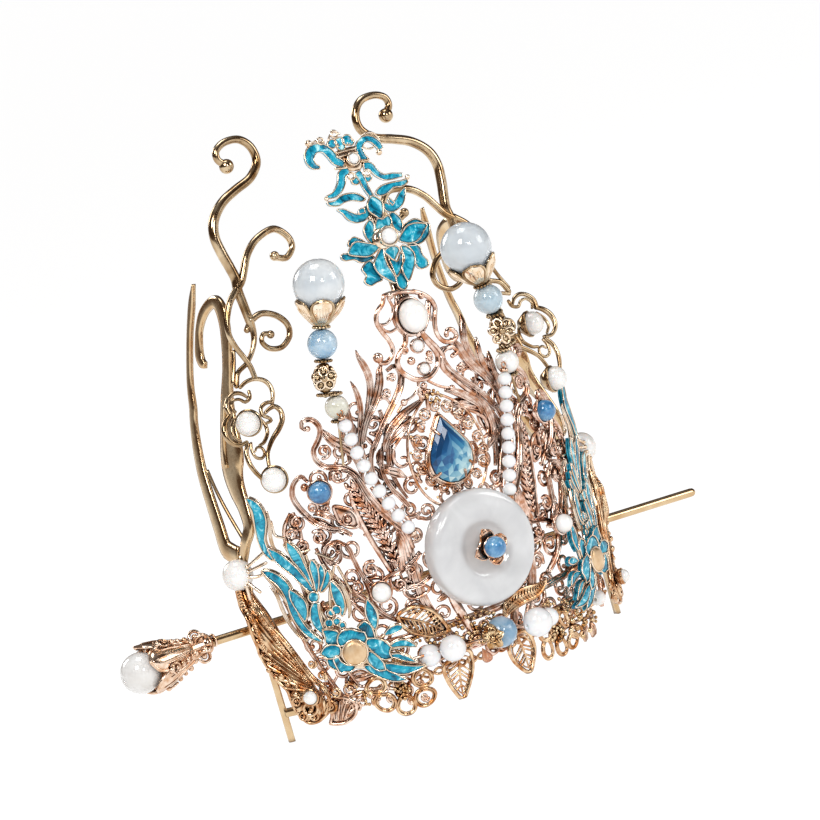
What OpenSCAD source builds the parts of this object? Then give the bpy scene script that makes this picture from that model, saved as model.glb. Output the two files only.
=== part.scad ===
// Hair crown: an open-backed filigree crown with enamel wings, a jade disc,
// bead stems and a long hairpin that pulls out sideways.
// +X to the wearer's left seen from the front, -Y towards the viewer, +Z up.
// z = 0 is the plane that the two side posts and the low leaf tips stand on.

/* [Shell] */
// Radius of the curved front panel, outer face
front_radius = 70; // [69.5:0.1:70.5]
// Distance from the origin to the panel's front, along -Y
front_depth = 36; // [35.8:0.1:36.2]
// Sheet thickness of the cast metal
sheet = 1.2; // [1:0.1:1.3]
// Height of the rail along the panel's lower edge
rail_h = 2.4; // [2:0.1:2.4]

/* [Disc and gem] */
// Diameter of the jade disc
disc_d = 32; // [30:0.5:33]
// Thickness of the jade disc
disc_t = 8; // [7:0.5:8]
// Height of the disc's centre above the base
disc_z = 38; // [37.5:0.5:38.5]
// Width of the teardrop gem
gem_w = 13; // [12:0.1:13.2]
// Height of the teardrop gem
gem_h = 18; // [17:0.2:18]

/* [Beads] */
// Diameter of the two beads on the stem tips
tip_bead_d = 14; // [13:0.2:14]
// Diameter of the blue beads on the stems
blue_bead_d = 8.2; // [7.6:0.1:8.2]
// Diameter of the pale beads under the stems
pale_bead_d = 6.6; // [6.2:0.1:6.6]
// Diameter of the white string beads
string_bead_d = 3.9; // [3.7:0.05:3.9]
// Diameter of the bead at the side of the crown
side_pearl_d = 8.6; // [8.2:0.1:8.6]

/* [Hairpin] */
// Diameter of the pin's rod
pin_d = 2.5; // [2.3:0.1:2.6]
// Bore of the eyelets that the pin passes through
eyelet_bore = 3.3; // [3.2:0.1:3.4]
// Height of the pin's axis in the middle of the crown
pin_z = 30; // [29.5:0.5:30.5]
// Slope of the pin, head end high
pin_slope = 3.1; // [2.8:0.1:3.4]
// Length of rod from the middle of the crown to its free end
pin_tail = 90; // [85:1:92]
// Diameter of the pin's end bead
pin_bead_d = 11.4; // [11:0.1:11.6]

/* [Hidden] */
$fn = 48;
cy = front_radius - front_depth;      // centre of the shell's arc
pin_y = -7.5;                         // the pin passes behind the shell's ends
lean_k = 0.2;                         // rear horns lean inwards, mm per mm of height
lean_a = atan(lean_k);
rose = [0.86, 0.6, 0.5];
champagne = [0.9, 0.76, 0.6];
enamel = [0.1, 0.58, 0.82];
white = [0.95, 0.95, 0.94];
pale_blue = [0.6, 0.75, 0.88];

// ---- helpers -------------------------------------------------------------

// y of the shell of radius r at x
function sy(x, r) = cy - sqrt(r * r - x * x);

// Puts children on the shell of radius r: local x right, y up, z outwards.
module on_shell(x, z, r) {
    translate([x, sy(x, r), z]) rotate([0, 0, asin(x / r)]) rotate([90, 0, 0]) children();
}

// The same, on the ray through the point at x on the shell of radius rx.
module on_ray(x, rx, z, r) {
    a = asin(x / rx);
    translate([r * sin(a), cy - r * cos(a), z]) rotate([0, 0, a]) rotate([90, 0, 0]) children();
}

module mirrored(side) {
    if (side > 0) children();
    else mirror([1, 0, 0]) children();
}

// A tapered curved strip. Rows of path: [x, y, half width].
function ribbon(p) = concat(
    [for (i = [0 : len(p) - 1]) let (n = row_normal(p, i)) [p[i][0] + n[0] * p[i][2], p[i][1] + n[1] * p[i][2]]],
    [for (i = [len(p) - 1 : -1 : 0]) let (n = row_normal(p, i)) [p[i][0] - n[0] * p[i][2], p[i][1] - n[1] * p[i][2]]]);
function row_normal(p, i) = let (
    a = p[max(i - 1, 0)], b = p[min(i + 1, len(p) - 1)],
    d = [b[0] - a[0], b[1] - a[1]], l = norm(d)) [-d[1] / l, d[0] / l];

// A leaf of length l and width w from the origin along +y, with a pointed tip.
function leaf_pts(l, w, n = 8) = concat(
    [for (i = [0 : n]) [-w / 2 * pow(sin(180 * pow(i / n, 0.8)), 0.9) - (i == 0 ? w * 0.08 : 0), l * i / n]],
    [for (i = [n - 1 : -1 : 0]) [w / 2 * pow(sin(180 * pow(i / n, 0.8)), 0.9) + (i == 0 ? w * 0.08 : 0), l * i / n]]);

// A flower outline with n petals between radii r0 and r1, pw sharpens the gaps.
function petals(n, r0, r1, pw = 0.5, step = 6) =
    [for (a = [0 : step : 359]) let (r = r0 + (r1 - r0) * pow(abs(cos(n * a / 2)), pw)) [r * cos(a), r * sin(a)]];

module leaf(l, w, t, vein = 0.5) {
    linear_extrude(t) polygon(leaf_pts(l, w));
    translate([-0.4, 0.6, 0]) cube([0.8, l * 0.86, t + vein]);
}

// Bead with a bore of radius b along z.
module bead(d, b) {
    difference() {
        sphere(d = d);
        translate([0, 0, -d]) cylinder(r = b, h = 2 * d);
    }
}

// ---- rail and panel ---------------------------------------------------

rail_half = 47;   // half angle of the rail, degrees
rail_z = 7.4;
module base_rail() {
    color(rose) translate([0, cy, rail_z]) rotate([0, 0, -90 - rail_half])
        rotate_extrude(angle = 2 * rail_half) translate([front_radius - 3, 0]) square([1.4, rail_h]);
}

// Right half of the panel's outline, from the bottom up. Rows: [x, z].
half_outline = [[45, 6.9], [45.4, 26], [44.2, 44], [43.5, 54], [41.5, 60], [38.6, 62], [38, 67],
    [35.5, 70], [35.4, 76], [35.2, 84], [32.6, 84.6], [31, 79], [28, 74.5], [25.4, 76], [24, 82],
    [21.2, 90.5], [20.6, 84], [19.4, 90], [18, 98.4], [16.6, 91], [14.6, 87], [13.8, 94], [11.4, 97.4],
    [9.4, 95], [8.4, 99], [9, 104], [5.6, 108.8]];

// Slots between the blades. Rows: [x, z, length, width, angle].
panel_slots = [[8, 76, 16, 3.4, -8], [13.4, 70, 17, 3, -16], [17.6, 63, 17, 3, -24], [22, 56, 15, 3, -36],
    [28, 60, 12, 3.6, -50], [24, 46, 13, 3.4, -46], [33, 46, 13, 4, -20], [38.5, 45, 10, 3.2, -10],
    [22.5, 36, 10, 3.2, -40], [34, 30, 13, 4, -6], [40, 29, 12, 3.4, 2], [30, 10, 10, 4, 10], [38, 10, 13, 4.4, 4],
    [22, 10, 9, 3.4, 20], [19.6, 71, 9, 2.2, -18], [3.6, 84, 10, 2.4, -6]];

// Bezels soldered to the panel. Rows: [x, z, shell radius of the stone, inner radius, shell radius of the mouth].
panel_bezels = [[29.8, 35, 75.6, 2.9, 75], [36.8, 65.4, 74.2, 3.3, 73.6]];

module panel_outline() {
    polygon(concat(half_outline, [for (i = [len(half_outline) - 1 : -1 : 0]) [-half_outline[i][0], half_outline[i][1]]]));
}

module front_panel() {
    color(rose) {
        difference() {
            intersection() {
                translate([0, cy, 0]) difference() {
                    cylinder(r = front_radius, h = 112);
                    translate([0, 0, -1]) cylinder(r = front_radius - sheet, h = 114);
                }
                rotate([90, 0, 0]) translate([0, 0, 8]) linear_extrude(40) panel_outline();
            }
            for (s = [-1, 1]) for (h = panel_slots)
                translate([s * h[0], -5, h[1]]) rotate([90, 0, 0]) rotate([0, 0, s * h[4]])
                    linear_extrude(40) polygon(leaf_pts(h[2], h[3], 5));
        }
        for (s = [-1, 1]) for (b = panel_bezels)
            on_ray(s * b[0], b[2], b[1], front_radius - 0.8) difference() {
                cylinder(r = b[3] + 0.5, h = b[4] - front_radius + 0.8);
                translate([0, 0, b[2] - b[3] - front_radius + 0.6]) cylinder(r = b[3], h = 6);
            }
    }
}

// ---- side frames with the pin's eyelets and the rear horns ------------------

// Rear horn in its own leaning sheet. Rows: [y, height along the sheet, half width].
horn = [[-5.6, 53, 1.8], [-8.4, 57.4, 1.9], [-9.8, 62, 2.4], [-8.8, 67, 3], [-6.2, 72.6, 4.2], [-5, 78, 5.6],
    [-5.2, 84, 5.6], [-5.6, 90, 4.2], [-6.6, 97, 2.9], [-8.4, 104, 2.3], [-9.4, 110.6, 2.3], [-9.2, 116, 2.4],
    [-7.8, 120.2, 2.2], [-4.8, 122.6, 1.9], [-0.4, 121.8, 1.6], [3.6, 119, 1.5], [6.2, 115.4, 1.4], [7.2, 112, 1.5],
    [7.2, 108.8, 1.6], [5.6, 106.4, 1.3]];
spike = [[-5, 53.4, 1.6], [-1, 53, 2.4], [2.6, 55, 2.8], [6.6, 60.8, 2.7], [10.4, 68.2, 2.4], [13.4, 75.4, 2.2],
    [15, 82, 2], [15.6, 90, 1.6], [15.2, 99, 1.3], [14.2, 106, 1.1], [12.2, 114, 1], [9.4, 122, 0.9], [7, 128, 0.2]];

module side_frame(side) {
    dz = tan(pin_slope) * 54.7 * -side;   // the pin's head end, on the left, sits high
    mirrored(side) color(champagne) {
        translate([62, 0, 0]) rotate([0, -lean_a, 0]) rotate([90, 0, 90]) linear_extrude(sheet) {
            polygon(ribbon(horn));
            polygon(ribbon(spike));
        }
        // foot of the horn, end post and eyelet
        hull() {
            translate([50.9, -5.6, 52]) cube([1.4, 2.4, 2]);
            translate([54, -7.6, 39]) cube([1.4, 2.4, 2]);
        }
        difference() {
            union() {
                translate([54, -9, 0]) cube([1.4, 2.6, 41]);
                translate([50.7, -12.6, rail_z]) rotate([0, 0, 46]) cube([5.4, 1.4, rail_h]);
                translate([54.7, pin_y, pin_z + dz]) rotate([0, 90, 0]) cylinder(r = eyelet_bore / 2 + 1, h = 1.8, center = true);
            }
            translate([54.7, pin_y, pin_z + dz]) rotate([0, 90 + side * pin_slope, 0])
                cylinder(r = eyelet_bore / 2, h = 12, center = true);
        }
    }
}

// ---- vines -----------------------------------------------------------------

// Each vine lies in a sheet that leans back. Rows: [x, height, radius].
vine_main = [[36.4, 101.6, 1.5], [38.6, 106, 1.5], [35.6, 110.6, 1.6], [34.9, 114.6, 1.6], [35, 119, 1.5], [35.4, 122.6, 1.4],
    [34.6, 126.4, 1.35], [35.4, 130, 1.3], [36.4, 134, 1.3], [36.6, 138, 1.25], [35.2, 142, 1.2], [31, 145.8, 1.15], [25.8, 148, 1.1],
    [20.4, 149.8, 1.05], [17, 153, 1], [17.2, 157.4, 0.95], [20.2, 160.2, 0.9], [24.6, 160.4, 0.85],
    [28, 158, 0.85], [27.8, 155.4, 0.9], [26.2, 154.8, 1.15]];
vine_curl = [[35.2, 121.6, 1.2], [32.6, 125.6, 1.1], [30.4, 129.4, 1], [25.6, 133.6, 1], [18.6, 134.8, 1], [15.4, 132, 0.95],
    [15.1, 128.6, 0.9], [17.6, 126.2, 0.85], [20.8, 126, 0.8], [22.4, 128.8, 0.95]];
vine_spiral = [[35.2, 112, 1.1], [32, 114, 1], [28.6, 113.6, 0.9], [25, 111.4, 0.85], [23.9, 108, 0.8], [26, 105, 0.8],
    [30.6, 104, 0.75], [33.4, 106.4, 0.7], [31, 110, 0.7]];
vine_strand = [[36.2, 121.4, 1], [39.4, 118.8, 1], [42, 114.2, 1.1], [42.4, 110.6, 1.1], [41.6, 106.8, 1.1], [40, 103.4, 1.1],
    [40.6, 99.6, 1.1], [43.6, 98.6, 1], [46.2, 94.6, 1.1], [51.4, 92, 1], [52.6, 88, 1], [50.4, 83.8, 1.1], [47.8, 82, 1.1], [45.6, 79.8, 1.1]];
vine_arch = [[39.4, 101, 1.1], [36.4, 97.6, 1], [35.4, 93.6, 1], [36.6, 90.4, 1], [36, 86.6, 1], [39.2, 82.6, 1], [43.4, 80, 1.1]];

function vine_y(z) = -16.5 + (z - 88) * 0.11;
function vine_pt(p) = [p[0], vine_y(p[1]), p[1]];

module tube(p) {
    for (i = [0 : len(p) - 2]) hull() {
        translate(vine_pt(p[i])) sphere(r = p[i][2], $fn = 8);
        translate(vine_pt(p[i + 1])) sphere(r = p[i + 1][2], $fn = 8);
    }
}

module vine(side) {
    mirrored(side) color(rose) {
        tube(vine_main);
        tube(vine_curl);
        tube(vine_spiral);
        tube(vine_strand);
        tube(vine_arch);
        // ring under the upper pearl, stem down to the lower bezel, and the bezel
        hull() {
            translate([44.6, vine_y(88) + 1.6, 80.6]) sphere(r = 1.1, $fn = 8);
            on_ray(46, 74.6, 75.8, 70.6) sphere(r = 1.1, $fn = 8);
        }
        on_ray(46.4, 71.2, 88, 64.6) cylinder(r = 3, h = 1.4, $fn = 24);
        for (e = [[52.4, -15.2], [36.2, -15.8]]) hull() {
            on_ray(46.4, 71.2, 88, 65.2) sphere(r = 0.9, $fn = 8);
            translate([e[0], e[1], 88]) sphere(r = 0.9, $fn = 8);
        }
        on_ray(46, 74.6, 72, 69.6) difference() {
            cylinder(r = 4.1, h = 4, $fn = 24);
            translate([0, 0, 1.2]) cylinder(r = 3.6, h = 4, $fn = 24);
        }
        hull() {
            on_ray(46, 74.6, 68.6, 70) sphere(r = 0.9, $fn = 8);
            on_shell(44.4, 57, 71.2) sphere(r = 0.9, $fn = 8);
        }
    }
}

// ---- base and side relief ---------------------------------------------------

// Butterfly wing outline on its own sheet, local x towards the crown's middle.
butterfly_pts = [[-7, 18], [-6.6, 13], [-6.5, 6], [-6.6, 0], [-7.6, -4], [-7, -10], [-5, -17], [-1, -20.4], [4, -20.6], [8.4, -17.6],
    [8.2, -13], [6.2, -6], [4, 0], [0, 9], [-3.4, 15], [-5.4, 19]];
butterfly_at = [-52.6, 24, 71.2];
module butterfly(side) {
    mirrored(-side) on_shell(butterfly_at[0], butterfly_at[1], butterfly_at[2]) difference() {
        color(rose) union() {
            linear_extrude(1.5) polygon(butterfly_pts);
            translate([5.6, -11.6, 0]) cylinder(r = 2.6, h = 2.6);
        }
        translate([5.6, -11.6, 2]) cylinder(r = 2.1, h = 2);
    }
}

// Wheat-ear relief. Rows: [x, y, half width] along the ear.
braid_path = [[-4.6, 12.6, 0.6], [-4.2, 9.6, 2.4], [-2.6, 4.6, 3.4], [-0.4, -1, 3.4], [2, -6, 3], [4.4, -9.6, 1.6]];
module braid(side) {
    mirrored(-side) color(rose) on_shell(-23.6, 51.6, 70.3) {
        linear_extrude(1.2) polygon(ribbon(braid_path));
        for (i = [1 : 4]) translate([braid_path[i][0], braid_path[i][1], 1]) cylinder(r = 1.6, h = 0.9);
    }
}

// Veined leaves along the base. Rows: [x, z, shell radius, length, width, angle].
leaf_rows = [[-16.9, 11.6, 70.6, 11.6, 7, 180], [5.2, 11, 70.6, 11, 6.4, 180],
    [-18.4, 17.6, 70.6, 13.4, 6, 36], [6.6, 20.4, 70.6, 15, 6.6, -64]];
module base_leaf(i) {
    p = leaf_rows[i];
    color(rose) on_shell(p[0], p[1], p[2]) rotate([0, 0, p[5]]) leaf(p[3], p[4], 1.2);
}

module wire_flower(x, z) {
    color(rose) on_shell(x, z, 70.6) {
        difference() {
            linear_extrude(1) polygon(petals(5, 3.4, 7.2, 0.5));
            for (a = [0 : 72 : 359]) rotate([0, 0, a]) translate([4.6, 0, -1]) cylinder(r = 1.3, h = 4);
        }
        cylinder(r = 1.5, h = 2);
    }
}

// ---- crest ------------------------------------------------------------------

crest_y = -37.3;
crest_z = 109.4;
crest_lean = 10;
module crest_frame() {
    translate([0, crest_y, crest_z]) rotate([-crest_lean, 0, 0]) rotate([90, 0, 0]) children();
}
// Right half of the crest's outline, local heights above the panel. Rows: [x, y].
crest_half = [[2.4, -0.2], [5.4, 4], [7.4, 9], [7.8, 15], [5.6, 20], [9.4, 23], [13.4, 28.6], [12.8, 30.6], [8.6, 29.2],
    [5, 30.4], [4.6, 33], [5.4, 37], [10.4, 38.6], [13.6, 42], [13.8, 46], [11.4, 48.4], [8.4, 47.6], [8, 45.4],
    [10.6, 45.6], [11, 43], [8.4, 41.2], [4.6, 41.6], [3.6, 45], [1.8, 48]];
module crest() {
    color(enamel) crest_frame() translate([0, 0, -sheet]) {
        linear_extrude(sheet) difference() {
            polygon(concat(crest_half, [for (i = [len(crest_half) - 1 : -1 : 0]) [-crest_half[i][0], crest_half[i][1]]]));
            for (s = [-1, 1]) {
                translate([s * 3.4, 7]) circle(r = 1.5);
                translate([s * 2.6, 35]) circle(r = 0.9);
            }
        }
        translate([0, 26.6, 0]) cylinder(r = 2.6, h = sheet + 1.1);
        translate([0, 38.6, 0]) difference() {
            cylinder(r = 2, h = sheet + 0.6);
            translate([0, 0, sheet - 0.2]) cylinder(r = 1.65, h = 2);
        }
    }
}

// Right half of the top lotus from its pearl's centre. Rows: [x, y].
lotus_half = [[0, -14.6], [2.6, -10.6], [6.4, -12.4], [12, -10], [10, -5.4], [14.4, -1.8], [9.4, 1.6], [8, 5.4], [5, 6.6], [2.6, 4.8], [0, 6.8]];
module top_lotus() {
    color(enamel) crest_frame() translate([0, 15.6, 0.3]) {
        linear_extrude(1.2) polygon(concat(lotus_half, [for (i = [len(lotus_half) - 2 : -1 : 1]) [-lotus_half[i][0], lotus_half[i][1]]]));
        translate([0, 0, 1]) cylinder(r = 3.4, h = 1.2);
    }
}

module top_pearl() {
    color(white) crest_frame() translate([0, 15.6, 4.9]) sphere(d = 4.4);
}

// ---- enamel wings and side lotuses ------------------------------------------

// Plumes of the wing. Rows: [x, y, half width].
plume_1 = [[-9.6, 24.6, 0.2], [-9.2, 19, 1.2], [-7.6, 13, 1.9], [-5, 7.6, 1.9], [-1, 2.6, 1.7], [3, -4, 1.4]];
plume_2 = [[-9.8, 3.6, 0.2], [-7.4, -0.4, 1.3], [-3.8, -6, 1.8], [-0.6, -12.4, 1.8], [5.4, -17.4, 1.2]];
neck = [[1.8, -6.4, 1.6], [2.2, -12, 1.7], [4.2, -16.4, 1.5]];
fan_1 = [[-3.8, 10.8, 0.2], [-1, 6.6, 1.5], [2, 0.6, 1.5], [3.6, -6, 1.2]];
fan_2 = [[0.8, 6.4, 0.3], [2.6, 3, 1.7], [4.2, -3, 1.3], [4.2, -7, 1]];
leaf_up = [[6.4, -1.4, 0.2], [6.2, -6, 1.5], [6.6, -12, 1.4], [6.4, -17.4, 0.9]];
module wing(side) {
    mirrored(-side) color(enamel) on_shell(-46.4, 44, 72.3) {
        linear_extrude(1.4) polygon(ribbon(plume_1));
        linear_extrude(1.3) polygon(ribbon(plume_2));
        linear_extrude(1.2) polygon(ribbon(fan_1));
        linear_extrude(1.1) polygon(ribbon(fan_2));
        linear_extrude(1) polygon(ribbon(leaf_up));
        linear_extrude(1.45) polygon(ribbon(neck));
        translate([1.8, -6.4]) cylinder(r = 2.6, h = 1.6);
        translate([4.2, -16.4]) cylinder(r = 2.2, h = 1.5);
    }
}

// Tails of the lotus. Rows: [x, y, half width].
tail_1 = [[6, -5, 1.8], [9.6, -9, 2], [12.6, -9.6, 1.3], [14.8, -8.8, 0.2]];
tail_2 = [[6.4, 2, 1.2], [10.4, 2.6, 1.7], [13.6, -0.4, 1.4], [14.4, -2.4, 0.3]];
module lotus(side) {
    mirrored(-side) color(enamel) on_shell(-38.4, 20.8, 74.4) {
        linear_extrude(1.2) {
            rotate([0, 0, 20]) polygon(petals(7, 5.4, 8.9, 0.5));
            polygon(ribbon(tail_1));
            polygon(ribbon(tail_2));
        }
        translate([0, 0, 0.6]) cylinder(r = 3.5, h = 1.4);
    }
}

// ---- bead stems and strings --------------------------------------------------

// Rows: left then right.
stem_feet = [[29.8, -33.9, 86.0], [29.6, -34.1, 82.8]];   // lower ends of the straight parts
stem_tops = [[23.4, -37.5, 119.0], [22.8, -37.5, 115.7]]; // centres of the tip beads
pale_pts = [[26.9, -34.6, 86.1], [27.3, -34.2, 82.2]];    // centres of the pale beads, a little nearer the middle
stem_root = [28.6, -32.5, 71];
function row(side) = side < 0 ? 0 : 1;
function stem_v(side) = stem_tops[row(side)] - stem_feet[row(side)];
function stem_len(side) = norm(stem_v(side));
function stem_pt(side, h) = stem_feet[row(side)] + stem_v(side) / stem_len(side) * h;
function pale_pt(side, h) = let (v = pale_pts[row(side)] - stem_root) pale_pts[row(side)] + v / norm(v) * h;
module on_stem(side) {
    stem_tilt = acos(stem_v(side)[2] / stem_len(side));
    stem_turn = atan2(stem_v(side)[1], stem_v(side)[0]);
    mirrored(side) translate(stem_feet[row(side)]) rotate([0, stem_tilt, stem_turn]) rotate([0, 0, -stem_turn]) children();
}
blue_at = 18;     // heights along the stem
flower_at = 8.9;

module stem(side) {
    // bent foot wire through the pale bead
    color(rose) mirrored(side) {
        link(stem_root, pale_pt(side, 4.1), 0.55);
        link(pale_pt(side, 4.1), stem_pt(side, 4.4), 0.55);
        translate(pale_pt(side, 4.1)) sphere(r = 0.8);
        translate(pale_pt(side, -4.6)) sphere(r = 1.2);
    }
    color(rose) on_stem(side) {
        translate([0, 0, 4]) cylinder(r = 0.55, h = stem_len(side) - 9);
        // spacer rings and gold flower bead
        translate([0, 0, 3.8]) cylinder(r = 1.9, h = 1);
        translate([0, 0, flower_at]) sphere(r = 3.9);
        translate([0, 0, flower_at - 4.6]) cylinder(r = 2.2, h = 9.2);
        translate([0, 0, blue_at + 4.3]) cylinder(r = 2.6, h = 1.6);
        // lotus cup under the tip bead
        translate([0, 0, blue_at + 5.6]) cylinder(r = 3, h = 2);
        translate([0, 0, stem_len(side)]) rotate_extrude()
            intersection() {
                difference() {
                    circle(r = tip_bead_d / 2 + 1.1);
                    circle(r = tip_bead_d / 2 + 0.3);
                }
                translate([0, -9]) square([9, 7.4]);
            }
    }
}
module tip_bead(side) {
    color(white) on_stem(side) translate([0, 0, stem_len(side)]) difference() {
        sphere(d = tip_bead_d);
        translate([0, 0, -tip_bead_d]) cylinder(r = 0.9, h = tip_bead_d + 4);
    }
}
module blue_bead(side) {
    color(pale_blue) on_stem(side) translate([0, 0, blue_at]) bead(blue_bead_d, 0.9);
}
module pale_bead(side) {
    v = pale_pt(side, 1) - pale_pt(side, 0);
    color([0.9, 0.9, 0.82]) mirrored(side) translate(pale_pt(side, 0)) rotate([0, acos(v[2]), atan2(v[1], v[0])]) bead(pale_bead_d, 0.9);
}

string_n = 9;
// Rows: [top, lower end, bow outwards], left string then right one.
string_rows = [[[27.5, -37.6, 81.0], [18.8, -39.6, 49.8], 1.8], [[23.2, -37.6, 78.5], [14.2, -39.6, 49.8], 0.3]];
function string_pt(i, row) = let (t = i / (string_n - 1))
    row[0] + (row[1] - row[0]) * t + [sin(180 * t) * row[2], 0, 0];
module link(a, b, r) {
    v = b - a;
    translate(a) rotate([0, acos(v[2] / norm(v)), atan2(v[1], v[0])]) cylinder(r = r, h = norm(v));
}
module string(side) {
    row = string_rows[side < 0 ? 0 : 1];
    mirrored(side) color(white) {
        for (i = [0 : string_n - 1]) translate(string_pt(i, row)) rotate([90, 0, 20]) sphere(d = string_bead_d);
        for (i = [0 : string_n - 2]) link(string_pt(i, row), string_pt(i + 1, row), 0.5);
    }
}

// ---- disc, gem and centre line -------------------------------------------------

disc_y = -front_depth - 0.4 - disc_t / 2;
module facing(x, y, z) {
    translate([x, y, z]) rotate([90, 0, 0]) children();
}
module jade_disc() {
    e = disc_t / 2;
    color(white) facing(0, disc_y, disc_z) rotate_extrude() {
        translate([2, -e]) square([disc_d / 2 - e - 2, disc_t]);
        intersection() {
            translate([disc_d / 2 - e, 0]) circle(r = e);
            translate([disc_d / 2 - e - 0.5, -e]) square([e + 0.5, disc_t]);
        }
    }
}
module disc_flower() {
    color(rose) facing(0, disc_y - disc_t / 2 - 0.2, disc_z) {
        linear_extrude(1) rotate([0, 0, 45]) polygon(petals(4, 2.2, 4.8, 0.6));
        translate([0, 0, -disc_t / 2]) cylinder(r = 1.4, h = disc_t / 2 + 0.5);
    }
}
module disc_bead() {
    color([0.25, 0.5, 0.8]) facing(0, disc_y - disc_t / 2 - 4.5, disc_z) sphere(r = 2.95);
}

// Teardrop outline, tip up, centred on its round part.
function drop_pts(w, h, n = 12) = concat([[0, h - w / 2]],
    [for (i = [0 : n]) let (a = 24 - 228 * i / n) [w / 2 * cos(a), w / 2 * sin(a)]]);
gem_z = 63.3;
gem_y = -front_depth - 0.4;
module gem_setting() {
    color(rose) facing(0, gem_y, gem_z) difference() {
        union() {
            linear_extrude(1) polygon(drop_pts(gem_w + 2.6, gem_h + 5));
            linear_extrude(2.2) polygon(drop_pts(gem_w + 1.8, gem_h + 2.9));
        }
        translate([0, 0, 1]) linear_extrude(3) polygon(drop_pts(gem_w + 0.5, gem_h + 0.9));
    }
}
module gem() {
    color([0.15, 0.4, 0.6]) facing(0, gem_y - 1.2, gem_z) hull() {
        linear_extrude(1.4) polygon(drop_pts(gem_w, gem_h));
        linear_extrude(3.2) polygon(drop_pts(gem_w * 0.6, gem_h * 0.62));
    }
}
module oval_pearl() {
    color(white) translate([0, -front_depth - 4.4, 103.2]) scale([1, 1, 1.18]) rotate([90, 0, 0]) rotate_extrude()
        intersection() {
            circle(r = 3.9);
            translate([0, -3.9]) square([3.9, 7.8]);
        }
}
module small_pearls() {
    color([1, 0.93, 0.9]) {
        translate([0, -front_depth - 2, 88.4]) sphere(d = 3);
        translate([0, -front_depth - 2, 94.9]) sphere(d = 3.3);
        crest_frame() translate([0, 38.6, 1.6]) sphere(d = 2.9);
        for (s = [-1, 1]) mirrored(s) on_shell(butterfly_at[0], butterfly_at[1], butterfly_at[2])
            translate([5.6, -11.6, 4.2]) sphere(d = 3.8);
    }
}

// ---- pearls and cabochons ---------------------------------------------------

// Rows: [x, z, shell radius of the centre, radius].
knot_row = [46.4, 88, 71.2, 3.3];
bezel_row = [46, 72, 74.6, 3.35];
blue_row = [36.8, 65.4, 74.2, 3];
small_row = [29.8, 35, 75.6, 2.6];
side_row = [56.9, 48.7, 71.6, side_pearl_d / 2];
module pearl(p, side, c) {
    mirrored(side) color(c) on_shell(p[0], p[1], p[2]) sphere(r = p[3]);
}

// Base beads. Rows: [x, z, shell radius, radius].
base_rows = [[-1.5, 14.4, 76, 4.3], [-16.7, 14.9, 77, 3.65], [9.2, 13.6, 78, 4.05], [-21.3, 14.3, 73.15, 3.05], [-6.6, 9.6, 73.6, 1.6], [38.5, 10.5, 72.3, 2.25], [15.6, 12.8, 74.6, 2.6]];
module base_bead(i, c) {
    p = base_rows[i];
    color(c) on_shell(p[0], p[1], p[2]) sphere(r = p[3]);
}

// ---- hairpin -------------------------------------------------------------------

module pin_frame() {
    translate([0, pin_y, pin_z]) rotate([0, pin_slope, 0]) children();
}
neck_x = -71.4;      // where the pin's head begins
head_tilt = 6.5;     // the head hangs a little lower than the rod
head_l = 20.2;       // from the neck to the middle of the end bead
module head_frame() {
    translate([neck_x, 0, 0]) rotate([0, -head_tilt, 0]) rotate([0, -90, 0]) children();
}
module pin_rod() {
    color(champagne) pin_frame() {
        translate([neck_x - 2.6, 0, 0]) rotate([0, 90, 0]) cylinder(d = pin_d, h = pin_tail - neck_x + 2.6);
        // flower cap: a hollow bell round the end bead
        head_frame() difference() {
            union() {
                cylinder(r1 = 2.6, r2 = 7.2, h = 18.6);
                sphere(r = 3.2);
            }
            translate([0, 0, head_l]) sphere(d = pin_bead_d + 0.8);
        }
    }
}
module pin_bead() {
    color(white) pin_frame() head_frame() translate([0, 0, head_l]) sphere(d = pin_bead_d);
}

// ---- assembly --------------------------------------------------------------------

base_rail();
front_panel();
side_frame(-1);  // side_frame_L
side_frame(1);  // side_frame_R
vine(-1);  // vine_L
vine(1);  // vine_R
butterfly(-1);  // butterfly_L
butterfly(1);  // butterfly_R
braid(-1);  // braid_L
braid(1);  // braid_R
base_leaf(0);  // leaf_low_L
base_leaf(1);  // leaf_low_R
base_leaf(2);  // leaf_mid_L
base_leaf(3);  // arc_leaf_R
wire_flower(-30.6, 9);  // flower_L
wire_flower(21, 9.4);  // flower_R
crest();
top_lotus();
top_pearl();
wing(-1);  // wing_L
wing(1);  // wing_R
lotus(-1);  // lotus_L
lotus(1);  // lotus_R
stem(-1);  // stem_L
stem(1);  // stem_R
tip_bead(-1);  // tip_bead_L
tip_bead(1);  // tip_bead_R
blue_bead(-1);  // blue_bead_L
blue_bead(1);  // blue_bead_R
pale_bead(-1);  // pale_bead_L
pale_bead(1);  // pale_bead_R
string(-1);  // string_L
string(1);  // string_R
jade_disc();
disc_flower();
disc_bead();
gem_setting();
gem();
oval_pearl();
small_pearls();
pearl(knot_row, -1, white);  // knot_pearl_L
pearl(knot_row, 1, white);  // knot_pearl_R
pearl(bezel_row, -1, white);  // bezel_pearl_L
pearl(bezel_row, 1, white);  // bezel_pearl_R
pearl(blue_row, -1, [0.35, 0.55, 0.8]);  // blue_cab_L
pearl(blue_row, 1, [0.35, 0.55, 0.8]);  // blue_cab_R
pearl(small_row, -1, white);  // small_cab_L
pearl(small_row, 1, white);  // small_cab_R
pearl(side_row, -1, white);  // side_pearl_L
pearl(side_row, 1, white);  // side_pearl_R
base_bead(0, pale_blue);  // base_blue_bead
base_bead(1, white);  // base_pearl_L
base_bead(2, white);  // base_pearl_R
base_bead(3, white);  // base_pearl_S
base_bead(5, white);  // base_pearl_T
base_bead(6, white);  // base_pearl_U
base_bead(4, [0.85, 0.55, 0.25]);  // amber_drop
pin_rod();
pin_bead();
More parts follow.
